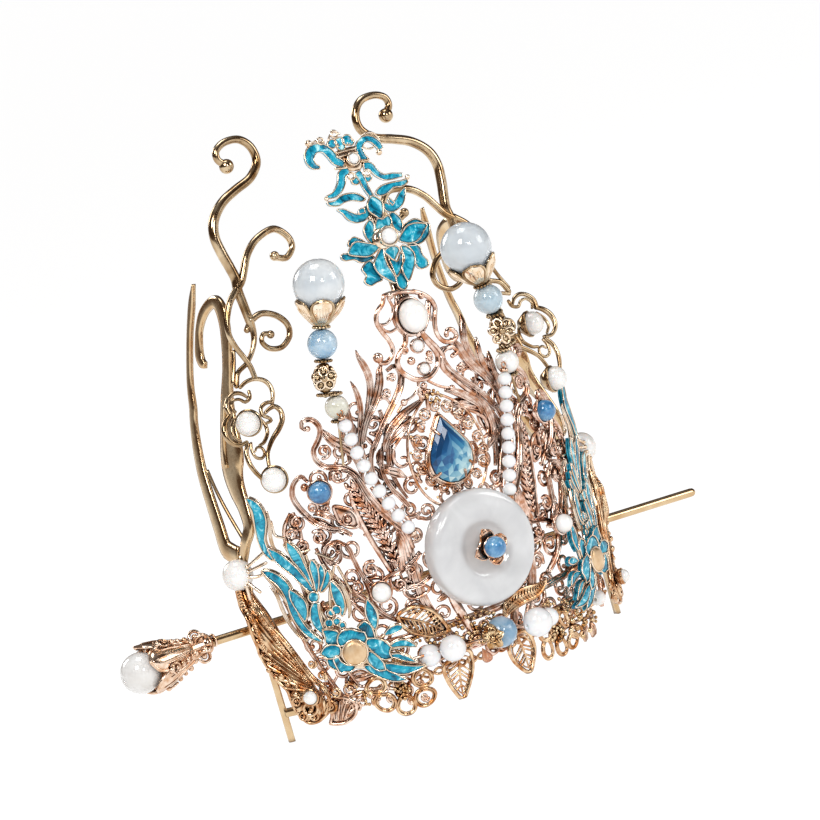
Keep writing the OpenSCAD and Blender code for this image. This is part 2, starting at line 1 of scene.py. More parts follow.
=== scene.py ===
import math
import random
import bmesh
import bpy
import numpy as np
from mathutils import Vector, Matrix


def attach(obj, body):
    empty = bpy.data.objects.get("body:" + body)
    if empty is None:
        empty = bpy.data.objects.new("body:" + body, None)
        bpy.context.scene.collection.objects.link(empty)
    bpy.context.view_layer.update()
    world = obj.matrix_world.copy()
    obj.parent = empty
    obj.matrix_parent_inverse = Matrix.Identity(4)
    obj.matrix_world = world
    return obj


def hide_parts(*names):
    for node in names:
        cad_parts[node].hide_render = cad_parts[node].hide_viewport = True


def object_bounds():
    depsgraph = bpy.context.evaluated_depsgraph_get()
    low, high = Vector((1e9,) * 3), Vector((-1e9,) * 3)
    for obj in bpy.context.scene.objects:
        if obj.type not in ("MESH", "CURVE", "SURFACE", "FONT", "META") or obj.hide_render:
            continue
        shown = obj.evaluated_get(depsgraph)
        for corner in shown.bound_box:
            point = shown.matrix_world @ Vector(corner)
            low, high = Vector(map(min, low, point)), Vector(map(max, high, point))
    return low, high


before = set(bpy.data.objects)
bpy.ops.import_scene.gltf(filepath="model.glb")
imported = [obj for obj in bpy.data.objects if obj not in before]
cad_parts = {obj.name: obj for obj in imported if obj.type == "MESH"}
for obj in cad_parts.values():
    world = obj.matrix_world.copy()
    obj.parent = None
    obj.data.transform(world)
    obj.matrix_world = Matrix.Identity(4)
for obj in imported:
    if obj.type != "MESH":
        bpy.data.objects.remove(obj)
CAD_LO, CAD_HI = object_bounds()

random.seed(7)

# ---------------------------------------------------------------- camera maths, mm
AZ, EL, ROLL = math.radians(-28), math.radians(7), math.radians(16)
DIST, FPX = 1200.0, 1200.0 / 0.27
RV = np.array([math.cos(AZ), math.sin(AZ), 0.0])
BV = np.array([math.sin(AZ) * math.cos(EL), -math.cos(AZ) * math.cos(EL), math.sin(EL)])
UV = np.cross(BV, RV)
CR, SR = math.cos(ROLL), math.sin(ROLL)


def unroll(px, py):
    dx, dy = px - 410.0, py - 410.0
    return dx * CR - dy * SR, -dx * SR - dy * CR


U0, V0 = unroll(478.0, 547.0)
EYE = np.array([0.0, -39.5, 38.0]) + DIST * BV - (U0 * RV + V0 * UV) * DIST / FPX


def ray(px, py):
    u, v = unroll(px, py)
    return u * RV + v * UV - FPX * BV


def on_cyl(px, py, rad, cy=34.0):
    d = ray(px, py)
    ax, ay = EYE[0], EYE[1] - cy
    a = d[0] ** 2 + d[1] ** 2
    b = 2 * (ax * d[0] + ay * d[1])
    c = ax * ax + ay * ay - rad * rad
    s = max(b * b - 4 * a * c, 0.0)
    return EYE + d * ((-b - math.sqrt(s)) / (2 * a))


def on_plane(px, py, n, d0):
    d = ray(px, py)
    n = np.array(n, float)
    return EYE + d * ((d0 - n @ EYE) / (n @ d))


def cyl(rad, cy=34.0):
    """A surface: takes pixels, gives the point, and the outward normal at a point."""
    def at(px, py, lift=0.0):
        return on_cyl(px, py, rad + lift, cy)

    def normal(p):
        v = np.array([p[0], p[1] - cy, 0.0])
        return v / np.linalg.norm(v)
    return at, normal


def plane(n, d0):
    n = np.array(n, float)
    k = np.linalg.norm(n)
    n, d0 = n / k, d0 / k
    sign = -1.0 if n @ BV < 0 else 1.0

    def at(px, py, lift=0.0):
        return on_plane(px, py, n, d0 + sign * lift)

    def normal(p):
        return n * sign
    return at, normal


def crop(x0, y0, scale):
    return lambda pts: [(x0 + p[0] / scale, y0 + p[1] / scale) + tuple(q / scale for q in p[2:]) for p in pts]


MMPX = 0.27

# ---------------------------------------------------------------- curves


def spline(rows, step=0.7, closed=False, least=4):
    """Catmull-Rom through rows of any width, at about step mm along the first three."""
    p = np.array(rows, float)
    n = len(p)
    out = []
    spans = n if closed else n - 1
    for i in range(spans):
        if closed:
            a, b, c, d = p[(i - 1) % n], p[i], p[(i + 1) % n], p[(i + 2) % n]
        else:
            b, c = p[i], p[i + 1]
            a = p[i - 1] if i > 0 else 2 * b - c
            d = p[i + 2] if i + 2 < n else 2 * c - b
        k = max(least if n < 5 else 2, int(math.ceil(np.linalg.norm((c - b)[:3]) / step)))
        for j in range(k):
            t = j / k
            out.append(0.5 * (2 * b + (c - a) * t + (2 * a - 5 * b + 4 * c - d) * t * t + (3 * b - a - 3 * c + d) * t ** 3))
    if not closed:
        out.append(p[-1])
    return np.array(out)


def unit(v):
    return v / max(np.linalg.norm(v), 1e-9)


def tangents(p, closed=False):
    if closed:
        t = np.roll(p, -1, 0) - np.roll(p, 1, 0)
    else:
        t = np.gradient(p, axis=0)
    return t / np.maximum(np.linalg.norm(t, axis=1), 1e-9)[:, None]


# ---------------------------------------------------------------- mesh builder, mm


class Mesh:
    def __init__(self):
        self.v, self.f, self.m, self.s = [], [], [], []

    def add(self, verts, faces, mat=0, smooth=True):
        k = len(self.v)
        self.v.extend([tuple(map(float, x)) for x in verts])
        for face in faces:
            self.f.append(tuple(k + i for i in face))
            self.m.append(mat)
            self.s.append(smooth)

    def join(self, other, mat_shift=0):
        k = len(self.v)
        self.v.extend(other.v)
        self.f.extend([tuple(k + i for i in x) for x in other.f])
        self.m.extend([x + mat_shift for x in other.m])
        self.s.extend(other.s)
        return self

    def mirror(self):
        o = Mesh()
        o.v = [(-x, y, z) for x, y, z in self.v]
        o.f = [tuple(reversed(x)) for x in self.f]
        o.m, o.s = list(self.m), list(self.s)
        return o

    def moved(self, fn):
        o = Mesh()
        o.v = [tuple(fn(np.array(x))) for x in self.v]
        o.f, o.m, o.s = list(self.f), list(self.m), list(self.s)
        return o

    def make(self, name, mats, body="crown", slot=None, replaces=()):
        me = bpy.data.meshes.new(name)
        me.from_pydata([(x / 1000, y / 1000, max(z, 0.03) / 1000) for x, y, z in self.v], [], self.f)
        for mat in mats:
            me.materials.append(mat)
        me.polygons.foreach_set("material_index", self.m)
        me.polygons.foreach_set("use_smooth", self.s)
        bm = bmesh.new()
        bm.from_mesh(me)
        bmesh.ops.remove_doubles(bm, verts=bm.verts, dist=2e-7)
        bmesh.ops.dissolve_degenerate(bm, edges=bm.edges, dist=1e-8)
        bmesh.ops.recalc_face_normals(bm, faces=bm.faces)
        bm.to_mesh(me)
        bm.free()
        me.validate()
        me.update()
        ob = bpy.data.objects.new(name, me)
        bpy.context.scene.collection.objects.link(ob)
        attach(ob, body)
        if replaces:
            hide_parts(*replaces)
        return ob


def ring_faces(n_rings, k, closed):
    out = []
    last = n_rings if closed else n_rings - 1
    for i in range(last):
        a, b = i * k, ((i + 1) % n_rings) * k
        for j in range(k):
            j2 = (j + 1) % k
            out.append((a + j, a + j2, b + j2, b + j))
    return out


def tube(M, pts, r, k=8, mat=0, closed=False, ends="round", flat=1.0, nrm=None, step=0.7):
    """Sweeps a round or oval section. pts: rows of 3, or 4 with a radius each."""
    rows = np.array([list(p[:3]) + [p[3] if len(p) > 3 else (r if np.isscalar(r) else r[i])] for i, p in enumerate(pts)], float)
    q = spline(rows, step, closed)
    p, rad = q[:, :3], np.maximum(q[:, 3], 0.03)
    t = tangents(p, closed)
    if not closed and ends == "round":
        lead, rl, tail, rt = [], [], [], []
        for phi in (75, 45, 20):
            s, c = math.sin(math.radians(phi)), math.cos(math.radians(phi))
            lead.append(p[0] - t[0] * rad[0] * s); rl.append(rad[0] * c)
        for phi in (20, 45, 75):
            s, c = math.sin(math.radians(phi)), math.cos(math.radians(phi))
            tail.append(p[-1] + t[-1] * rad[-1] * s); rt.append(rad[-1] * c)
        tip0, tip1 = p[0] - t[0] * rad[0], p[-1] + t[-1] * rad[-1]
        p = np.vstack([lead, p, tail])
        rad = np.concatenate([rl, rad, rt])
        t = np.vstack([[t[0]] * 3, t, [t[-1]] * 3])
    else:
        tip0, tip1 = p[0], p[-1]
    n0 = np.array([0, 0, 1.0]) if abs(t[0][2]) < 0.9 else np.array([1.0, 0, 0])
    a = unit(np.cross(t[0], n0))
    verts = []
    frames = []
    for i in range(len(p)):
        if nrm is not None:
            nn = nrm(p[i])
            a = unit(np.cross(t[i], nn))
        else:
            a = unit(a - t[i] * (a @ t[i]))
        frames.append(a)
    if closed and nrm is None:
        end = unit(frames[-1] - t[0] * (frames[-1] @ t[0]))
        ang = math.atan2(np.cross(end, frames[0]) @ t[0], end @ frames[0])
        for i in range(len(p)):
            w = ang * i / len(p)
            b = np.cross(t[i], frames[i])
            frames[i] = frames[i] * math.cos(w) + b * math.sin(w)
    for i in range(len(p)):
        a = frames[i]
        b = np.cross(t[i], a)
        for j in range(k):
            w = 2 * math.pi * j / k
            verts.append(p[i] + rad[i] * (a * math.cos(w) + b * math.sin(w) * flat))
    faces = ring_faces(len(p), k, closed)
    if not closed:
        n = len(verts)
        verts += [tip0, tip1]
        faces += [(n, (j + 1) % k, j) for j in range(k)]
        base = (len(p) - 1) * k
        faces += [(n + 1, base + j, base + (j + 1) % k) for j in range(k)]
    M.add(verts, faces, mat)


def profile(kind, t):
    if kind == "dome":
        return [(-1, 0)] + [(-math.cos(w), 0.15 * t + 0.85 * t * math.sin(w)) for w in np.linspace(0.1, math.pi - 0.1, 7)] + [(1, 0)]
    if kind == "ridge":
        return [(-1, 0), (-1, .5 * t), (-.84, .92 * t), (-.62, .62 * t), (-.2, .55 * t), (0, t), (.2, .55 * t), (.62, .62 * t), (.84, .92 * t), (1, .5 * t), (1, 0)]
    if kind == "groove":
        return [(-1, 0), (-1, .55 * t), (-.78, t), (-.5, .55 * t), (0, .4 * t), (.5, .55 * t), (.78, t), (1, .55 * t), (1, 0)]
    if kind == "flat":
        return [(-1, 0), (-1, .7 * t), (-.85, t), (.85, t), (1, .7 * t), (1, 0)]
    if kind == "bead":
        return [(-1, .3 * t), (-.7, .85 * t), (0, t), (.7, .85 * t), (1, .3 * t), (.7, -.1 * t), (-.7, -.1 * t)]
    return kind


def strap(M, pts, normal, kind="groove", t=1.2, mat=0, step=0.8, base=0.0, scale_t=True, taper=0.45):
    """Sweeps a shaped section. pts: rows [x, y, z, half width]."""
    q = spline([list(x[:4]) for x in pts], step)
    p, hw = q[:, :3], np.maximum(q[:, 3], 0.06)
    tt = tangents(p)
    prof = profile(kind, t)
    k = len(prof)
    big = max(hw.max(), 1e-6)
    verts = []
    for i in range(len(p)):
        n = normal(p[i])
        s = unit(np.cross(tt[i], n))
        n2 = np.cross(s, tt[i])
        g = 1.0
        if scale_t:
            g = taper + (1 - taper) * min(1.0, hw[i] / big * 1.25)
        for a, h in prof:
            verts.append(p[i] + s * hw[i] * a + n2 * (h * g + base))
    faces = [tuple(reversed(f)) for f in ring_faces(len(p), k, False)]
    n = len(verts)
    verts += [np.mean(verts[:k], 0), np.mean(verts[(len(p) - 1) * k:], 0)]
    faces += [(n, j, (j + 1) % k) for j in range(k)]
    b = (len(p) - 1) * k
    faces += [(n + 1, b + (j + 1) % k, b + j) for j in range(k)]
    M.add(verts, faces, mat)


def ball(M, c, r, mat=0, seg=10, rings=7, scale=(1, 1, 1), axes=None):
    ax = np.eye(3) if axes is None else np.array(axes, float)
    c = np.array(c, float)
    verts = [c + ax[2] * r * scale[2]]
    for i in range(1, rings):
        ph = math.pi * i / rings
        for j in range(seg):
            th = 2 * math.pi * j / seg
            verts.append(c + ax[0] * r * scale[0] * math.sin(ph) * math.cos(th) + ax[1] * r * scale[1] * math.sin(ph) * math.sin(th) + ax[2] * r * scale[2] * math.cos(ph))
    verts.append(c - ax[2] * r * scale[2])
    faces = [(0, 1 + j, 1 + (j + 1) % seg) for j in range(seg)]
    for i in range(rings - 2):
        a, b = 1 + i * seg, 1 + (i + 1) * seg
        faces += [(a + j, b + j, b + (j + 1) % seg, a + (j + 1) % seg) for j in range(seg)]
    n = len(verts) - 1
    a = 1 + (rings - 2) * seg
    faces += [(n, a + (j + 1) % seg, a + j) for j in range(seg)]
    M.add(verts, faces, mat)


def basis(n):
    """Two axes across n, the second as near up as it goes."""
    n = unit(np.array(n, float))
    up = np.array([0, 0, 1.0]) if abs(n[2]) < 0.95 else np.array([0, 1.0, 0])
    a = unit(np.cross(up, n))
    return a, np.cross(n, a), n


def lathe(M, origin, axis, prof, seg=32, mat=0, smooth=True, wobble=0.0, seed=0):
    """Turns rows (r, h) about axis. Closed at both ends where r is 0; a loop if the rows end where they start."""
    a, b, n = basis(axis)
    o = np.array(origin, float)
    rng = random.Random(seed)
    ph = [rng.uniform(0, 6.28) for _ in range(4)]
    verts, rings = [], []
    for r, h in prof:
        if r < 1e-6:
            rings.append([len(verts)])
            verts.append(o + n * h)
        else:
            row = []
            for j in range(seg):
                w = 2 * math.pi * j / seg
                rr = r * (1 + wobble * (math.sin(2 * w + ph[0] + h * .3) + .6 * math.sin(3 * w + ph[1] - h * .5)))
                row.append(len(verts))
                verts.append(o + a * rr * math.cos(w) + b * rr * math.sin(w) + n * h)
            rings.append(row)
    faces = []
    for p, q in zip(rings, rings[1:]):
        if len(p) == 1 and len(q) == 1:
            continue
        if len(p) == 1:
            faces += [(p[0], q[(j + 1) % seg], q[j]) for j in range(seg)]
        elif len(q) == 1:
            faces += [(q[0], p[j], p[(j + 1) % seg]) for j in range(seg)]
        else:
            faces += [(p[j], p[(j + 1) % seg], q[(j + 1) % seg], q[j]) for j in range(seg)]
    M.add(verts, faces, mat, smooth)


def smooth_prof(rows, step=0.5):
    q = spline([[r, h, 0] for r, h in rows], step)
    return [(max(x[0], 0.0) if i not in (0, len(q) - 1) else rows[0 if i == 0 else -1][0], x[1]) for i, x in enumerate(q)]


def torus(M, c, n, R, r, seg=24, k=8, mat=0, a0=0.0, a1=360.0, sx=1.0, sy=1.0):
    a, b, n = basis(n)
    c = np.array(c, float)
    full = a1 - a0 >= 359.9
    m = max(6, int(seg * (a1 - a0) / 360))
    pts = []
    for i in range(m if full else m + 1):
        w = math.radians(a0 + (a1 - a0) * i / m)
        pts.append(c + a * R * sx * math.cos(w) + b * R * sy * math.sin(w))
    tube(M, pts, r, k=k, mat=mat, closed=full, step=1e9)


def drilled(M, c, r, axis, hole=0.55, mat=0, seg=28, rings=16, squash=1.0, seed=1, wobble=0.006):
    """A bead with a drilled hole along axis, whose mouth is rounded."""
    prof = []
    a0 = math.asin(min(0.95, (hole * 1.5) / r))
    for i in range(rings + 1):
        w = a0 + (math.pi - 2 * a0) * i / rings
        prof.append((r * math.sin(w), -r * squash * math.cos(w)))
    top = [(hole, prof[-1][1] - 0.25 * hole), (hole, 0.3)]
    low = [(hole, -0.3), (hole, prof[0][1] + 0.25 * hole)]
    rows = [low[1]] + prof + [top[0]]
    rows = rows + [(hole, 0.0), rows[0]]
    lathe(M, c, axis, rows, seg, mat, wobble=wobble, seed=seed)


def spiral_pts(c, n, r0, r1, turns, start, sign=1, k=14):
    a, b, n = basis(n)
    out = []
    m = max(6, int(k * abs(turns)))
    for i in range(m + 1):
        t = i / m
        w = math.radians(start) + sign * 2 * math.pi * turns * t
        r = r0 + (r1 - r0) * t
        out.append(np.array(c) + a * r * math.cos(w) + b * r * math.sin(w))
    return out


def px_rows(surf, pts, width=1.0, lift=0.0):
    """Pixel rows (x, y[, half width px]) to mm rows [x, y, z, half width]."""
    at, _ = surf
    return [list(at(p[0], p[1], lift)) + [(p[2] if len(p) > 2 else width) * MMPX] for p in pts]


def px_strap(M, surf, pts, width=2.0, kind="groove", t=1.2, lift=0.0, mat=0, **kw):
    strap(M, px_rows(surf, pts, width, lift), surf[1], kind, t, mat, **kw)


def px_tube(M, surf, pts, width=2.0, lift=0.0, mat=0, **kw):
    tube(M, px_rows(surf, pts, width, lift), None, mat=mat, **kw)


def px_curl(M, surf, x, y, r_px, lift=0.4, w=0.42, turns=1.35, start=200, sign=1, mat=0, ball_r=None):
    c = surf[0](x, y, lift)
    n = surf[1](c)
    pts = spiral_pts(c, n, r_px * MMPX, r_px * MMPX * 0.28, turns, start, sign)
    rows = [list(p) + [w * (1 - 0.35 * i / len(pts))] for i, p in enumerate(pts)]
    tube(M, rows, None, mat=mat)
    ball(M, pts[-1], ball_r or w * 1.25, mat)


def outline_px(surf, pts, lift=0.0, step=0.7, smooth=True):
    rows = [surf[0](p[0], p[1], lift) for p in pts]
    return spline(rows, step, closed=True) if smooth else np.array(rows)


def cell(M, loop, n, rim=0.3, depth=0.9, fill=0, gold=1, dome=0.25, rings=4, flange=0.0, back=None):
    """Enamel in a wire rim on a gold backing plate. loop: closed row of points, seen from its front."""
    rim *= 0.92
    n = unit(np.array(n, float))
    loop = np.array(loop)
    c = loop.mean(0)
    # area centroid, so that the rings stay inside
    a, b, _ = basis(n)
    x, y = (loop - c) @ a, (loop - c) @ b
    cross = x * np.roll(y, -1) - np.roll(x, -1) * y
    area = cross.sum() / 2
    if abs(area) < 1e-6:
        return
    cx = ((x + np.roll(x, -1)) * cross).sum() / (6 * area)
    cyy = ((y + np.roll(y, -1)) * cross).sum() / (6 * area)
    c = c + a * cx + b * cyy
    if area < 0:
        loop = loop[::-1]
    k = len(loop)
    verts, faces = [], []
    for i in range(rings):
        s = 1 - i / rings
        h = dome * (1 - s * s) + 0.0
        for p in loop:
            verts.append(c + (p - c) * s + n * h)
    verts.append(c + n * dome)
    for i in range(rings - 1):
        for j in range(k):
            j2 = (j + 1) % k
            faces.append((i * k + j, i * k + j2, (i + 1) * k + j2, (i + 1) * k + j))
    top = (rings - 1) * k
    faces += [(top + j, top + (j + 1) % k, rings * k) for j in range(k)]
    low = len(verts)
    verts += [p - n * depth for p in loop] + [c - n * depth]
    faces += [(j, low + j, low + (j + 1) % k, (j + 1) % k) for j in range(k)]
    faces += [(low + j, low + k, low + (j + 1) % k) for j in range(k)]
    M.add(verts, faces, fill)
    for i in range(k):
        M.m[-1 - i] = gold
    tube(M, loop + n * (rim * 0.45), rim, k=6, mat=gold, closed=True, step=1e9)
    if flange:
        wide = [q + unit(q - c) * flange - n * (depth + 0.3) for q in loop]
        plate(M, wide, n, 0.32, gold if back is None else back, rings=1)


def plume(M, rows, normal, rim=0.3, depth=0.8, fill=0, gold=1, dome=0.28, step=0.7, flange=0.0, back=None):
    """A curved tapering enamel plume: rows [x, y, z, half width]."""
    rim *= 0.8
    q = spline(rows, step)
    p, hw = q[:, :3], np.maximum(q[:, 3], 0.05)
    t = tangents(p)
    left, right = [], []
    verts = []
    ks = (-1, -.6, -.2, .2, .6, 1)
    for i in range(len(p)):
        n = normal(p[i])
        s = unit(np.cross(t[i], n))
        left.append(p[i] - s * hw[i])
        right.append(p[i] + s * hw[i])
        for a in ks:
            verts.append(p[i] + s * hw[i] * a + n * (dome * (1 - a * a) * min(1, hw[i])))
    k = len(ks)
    faces = []
    for i in range(len(p) - 1):
        for j in range(k - 1):
            faces.append((i * k + j, i * k + j + 1, (i + 1) * k + j + 1, (i + 1) * k + j))
    n_fill = len(faces)
    # sides, back and both ends, so that the plume is one closed solid
    low = len(verts)
    for i in range(len(p)):
        n = normal(p[i])
        s = unit(np.cross(t[i], n))
        for a in (-1, 1):
            verts.append(p[i] + s * (hw[i] + rim * 0.3) * a - n * depth)
    for i in range(len(p) - 1):
        e, g = i * k, low + 2 * i
        faces.append((e, e + k, g + 2, g))
        faces.append((e + k - 1, g + 1, g + 3, e + 2 * k - 1))
        faces.append((g, g + 2, g + 3, g + 1))
    for i in (0, len(p) - 1):
        faces.append(tuple(range(i * k, i * k + k)) + (low + 2 * i + 1, low + 2 * i))
    M.add(verts, faces, fill)
    first = len(M.m) - len(faces) + n_fill
    for i in range(len(p) - 1):
        M.m[first + 3 * i + 2] = gold
    if flange:
        strap(M, [list(r[:3]) + [r[3] + flange] for r in rows], normal, "flat", 0.34, gold if back is None else back, step, base=-depth - 0.34, scale_t=False)
    loop = np.array(left + right[::-1])
    keep = [0]
    for i in range(1, len(loop)):
        if np.linalg.norm(loop[i] - loop[keep[-1]]) > 0.25:
            keep.append(i)
    loop = loop[keep]
    lifted = np.array([x + normal(x) * rim * 0.4 for x in loop])
    tube(M, lifted, rim, k=6, mat=gold, closed=True, step=1e9)


def plate(M, loop, n, t=0.9, mat=0, dome=0.0, rings=4, inset=0.0):
    """A solid plate with a closed outline: front at loop + t, back at loop."""
    n = unit(np.array(n, float))
    loop = np.array(loop)
    a, b, _ = basis(n)
    c = loop.mean(0)
    x, y = (loop - c) @ a, (loop - c) @ b
    cross = x * np.roll(y, -1) - np.roll(x, -1) * y
    area = cross.sum() / 2
    cx = ((x + np.roll(x, -1)) * cross).sum() / (6 * area)
    cyy = ((y + np.roll(y, -1)) * cross).sum() / (6 * area)
    c = c + a * cx + b * cyy
    if area < 0:
        loop = loop[::-1]
    k = len(loop)
    verts = list(loop)
    for i in range(rings):
        s = 1 - i / rings
        verts += [c + (p - c) * s + n * (t + dome * (1 - s * s)) for p in loop]
    verts += [c + n * (t + dome), c]
    faces = []
    for i in range(rings):
        faces += [(i * k + j, i * k + (j + 1) % k, (i + 1) * k + (j + 1) % k, (i + 1) * k + j) for j in range(k)]
    top = rings * k
    faces += [(top + j, top + (j + 1) % k, (rings + 1) * k) for j in range(k)]
    faces += [(j, (rings + 1) * k + 1, (j + 1) % k) for j in range(k)]
    M.add(verts, faces, mat)


def open_leaf(M, surf, pts_outline, rib, veins=5, rim=0.42, vein=0.26, lift=0.6, mat=0):
    """A leaf of wire: rim, midrib and slanting cross bars with gaps between them."""
    at, nf = surf
    loop = outline_px(surf, pts_outline, lift)
    tube(M, loop, rim, k=8, mat=mat, closed=True, step=1e9)
    mid_ = np.mean([at(q[0], q[1], lift) for q in rib], 0)
    tube(M, mid_ + (loop - mid_) * 0.76, vein * 0.8, k=6, mat=mat, closed=True, step=1e9)
    ribp = spline([at(p[0], p[1], lift + 0.1) for p in rib], 0.6)
    tube(M, [list(p) + [0.42 - 0.2 * i / len(ribp)] for i, p in enumerate(ribp)], None, mat=mat, step=1e9)
    n = nf(ribp[len(ribp) // 2])
    a, b, _ = basis(n)
    L2 = [((q - ribp[0]) @ a, (q - ribp[0]) @ b) for q in loop]
    for i in range(1, veins + 1):
        j = int(len(ribp) * (0.08 + 0.78 * i / (veins + 1)))
        p = ribp[j]
        d = unit(ribp[min(j + 2, len(ribp) - 1)] - ribp[max(j - 2, 0)])
        s = unit(np.cross(d, n))
        for sg in (-1, 1):
            dirv = unit(d * 0.75 + s * sg)
            hit = ray_hit(p, dirv, loop, a, b)
            if hit is not None:
                tube(M, [p, (p + hit) / 2 + n * 0.12, hit], vein, k=6, mat=mat, step=0.8)


def ray_hit(p, d, loop, a, b):
    px, py = p @ a, p @ b
    dx, dy = d @ a, d @ b
    best = None
    for i in range(len(loop)):
        q0, q1 = loop[i], loop[(i + 1) % len(loop)]
        x0, y0, x1, y1 = q0 @ a, q0 @ b, q1 @ a, q1 @ b
        ex, ey = x1 - x0, y1 - y0
        det = dx * (-ey) + dy * ex
        if abs(det) < 1e-9:
            continue
        t = ((x0 - px) * (-ey) + (y0 - py) * ex) / det
        u = (dx * (y0 - py) - dy * (x0 - px)) / det
        if t > 0.15 and -0.01 <= u <= 1.01 and (best is None or t < best[0]):
            best = (t, q0 + (q1 - q0) * u)
    return None if best is None else best[1]


def granules(M, surf, centre, r_px, n, g=0.62, lift=0.6, mat=0, seed=3, sx=1.0, sy=1.0):
    rng = random.Random(seed)
    done = []
    tries = 0
    while len(done) < n and tries < n * 30:
        tries += 1
        w, rr = rng.uniform(0, 6.283), math.sqrt(rng.random()) * r_px
        x, y = centre[0] + rr * math.cos(w) * sx, centre[1] + rr * math.sin(w) * sy
        if any((x - u) ** 2 + (y - v) ** 2 < (g * 1.25 / MMPX) ** 2 for u, v in done):
            continue
        done.append((x, y))
        ball(M, surf[0](x, y, lift + rng.uniform(0, 0.5)), g * rng.uniform(0.8, 1.15), mat, seg=8, rings=6)


def grain(M, c, d, length, n, w, h, mat=0):
    """A pointed seed shape lying along d."""
    s = unit(np.cross(d, n))
    rows = []
    for i in range(7):
        t = i / 6
        rows.append(list(np.array(c) + d * length * t) + [w * math.sin(math.pi * min(1, (0.12 + 0.88 * t)) ** 0.8) * (1 if t < 1 else 0.1)])
    strap(M, rows, lambda p: n, "dome", h, mat, step=1.2)

# ---------------------------------------------------------------- materials


def new_mat(name):
    mat = bpy.data.materials.new(name)
    mat.use_nodes = True
    nt = mat.node_tree
    nt.nodes.clear()
    out = nt.nodes.new("ShaderNodeOutputMaterial")
    bs = nt.nodes.new("ShaderNodeBsdfPrincipled")
    nt.links.new(bs.outputs[0], out.inputs[0])
    return mat, nt, bs


def coords(nt, scale=(1, 1, 1)):
    tc = nt.nodes.new("ShaderNodeTexCoord")
    mp = nt.nodes.new("ShaderNodeMapping")
    mp.inputs["Scale"].default_value = scale
    nt.links.new(tc.outputs["Object"], mp.inputs[0])
    return mp.outputs[0]


def noise(nt, vec, scale, detail=3, rough=0.5, dist=0.0):
    n = nt.nodes.new("ShaderNodeTexNoise")
    n.inputs["Scale"].default_value = scale
    n.inputs["Detail"].default_value = detail
    n.inputs["Roughness"].default_value = rough
    n.inputs["Distortion"].default_value = dist
    nt.links.new(vec, n.inputs["Vector"])
    return n.outputs["Fac"]


def ramp(nt, fac, stops):
    r = nt.nodes.new("ShaderNodeValToRGB")
    e = r.color_ramp.elements
    while len(e) > 1:
        e.remove(e[-1])
    e[0].position, e[0].color = stops[0][0], tuple(stops[0][1]) + (1,)
    for pos, col in stops[1:]:
        x = e.new(pos)
        x.color = tuple(col) + (1,)
    nt.links.new(fac, r.inputs[0])
    return r.outputs[0]


def mix_col(nt, fac, a, b):
    m = nt.nodes.new("ShaderNodeMix")
    m.data_type = "RGBA"
    for sock, val in ((m.inputs[0], fac), (m.inputs[6], a), (m.inputs[7], b)):
        if isinstance(val, (int, float)):
            sock.default_value = val
        elif isinstance(val, tuple):
            sock.default_value = val + (1,)
        else:
            nt.links.new(val, sock)
    return m.outputs[2]


def spread(nt, fac, lo, hi, a=0.3, b=0.7):
    m = nt.nodes.new("ShaderNodeMapRange")
    m.inputs["From Min"].default_value, m.inputs["From Max"].default_value = a, b
    m.inputs["To Min"].default_value, m.inputs["To Max"].default_value = lo, hi
    nt.links.new(fac, m.inputs[0])
    return m.outputs[0]


def bump(nt, fac, bs, strength, dist):
    b = nt.nodes.new("ShaderNodeBump")
    b.inputs["Strength"].default_value = strength
    b.inputs["Distance"].default_value = dist
    nt.links.new(fac, b.inputs["Height"])
    nt.links.new(b.outputs[0], bs.inputs["Normal"])


def recess_shade_ao(nt, dist, samples=5):
    """0 in recesses, 1 in the open: the mask for painted shade in recesses."""
    a = nt.nodes.new("ShaderNodeAmbientOcclusion")
    a.samples = samples
    a.inputs["Distance"].default_value = dist
    return a.outputs["AO"]


def srgb(h):
    c = [int(h[i:i + 2], 16) / 255 for i in (1, 3, 5)]
    return tuple(x / 12.92 if x <= 0.04045 else ((x + 0.055) / 1.055) ** 2.4 for x in c)


def gold(name, light, mid, recess_shade_col, rough=(0.1, 0.24), ao=0.0016, bmp=0.12, scale=420):
    mat, nt, bs = new_mat(name)
    v = coords(nt)
    base = ramp(nt, noise(nt, v, scale, 4), [(0.36, srgb(mid)), (0.66, srgb(light))])
    # painted shade: the dark colour is mixed in where ambient occlusion finds recesses, creases and gaps between parts
    painted_shade_mask = ramp(nt, recess_shade_ao(nt, ao), [(0.16, (0, 0, 0)), (0.68, (1, 1, 1))])
    col = mix_col(nt, painted_shade_mask, srgb(recess_shade_col), base)
    nt.links.new(col, bs.inputs["Base Color"])
    bs.inputs["Metallic"].default_value = 1.0
    nt.links.new(spread(nt, noise(nt, v, 900, 3), rough[0], rough[1]), bs.inputs["Roughness"])
    bump(nt, noise(nt, v, 1400, 2), bs, bmp, 0.00012)
    return mat


def enamel(name, deep, mid, light, streak_and_highlight="#8fdcf4", rough=0.1):
    mat, nt, bs = new_mat(name)
    v = coords(nt)
    n1 = noise(nt, v, 300, 4, 0.6, 1.3)
    # the pale streak tone is partly the enamel's own streaks and partly a painted highlight
    base = ramp(nt, n1, [(0.34, srgb(deep)), (0.45, srgb(mid)), (0.57, srgb(light)), (0.68, srgb(streak_and_highlight))])
    # painted shade: the deep colour is mixed in near the rims and in recesses
    painted_shade_mask = ramp(nt, recess_shade_ao(nt, 0.0013), [(0.3, (0, 0, 0)), (0.85, (1, 1, 1))])
    col = mix_col(nt, painted_shade_mask, srgb(deep), base)
    nt.links.new(col, bs.inputs["Base Color"])
    nt.links.new(spread(nt, noise(nt, v, 700, 2), rough * 0.7, rough * 1.6), bs.inputs["Roughness"])
    bs.inputs["Coat Weight"].default_value = 0.35
    bs.inputs["Coat Roughness"].default_value = 0.04
    bs.inputs["IOR"].default_value = 1.45
    bs.inputs["Specular IOR Level"].default_value = 0.3
    bump(nt, noise(nt, v, 420, 2), bs, 0.3, 0.00035)
    return mat


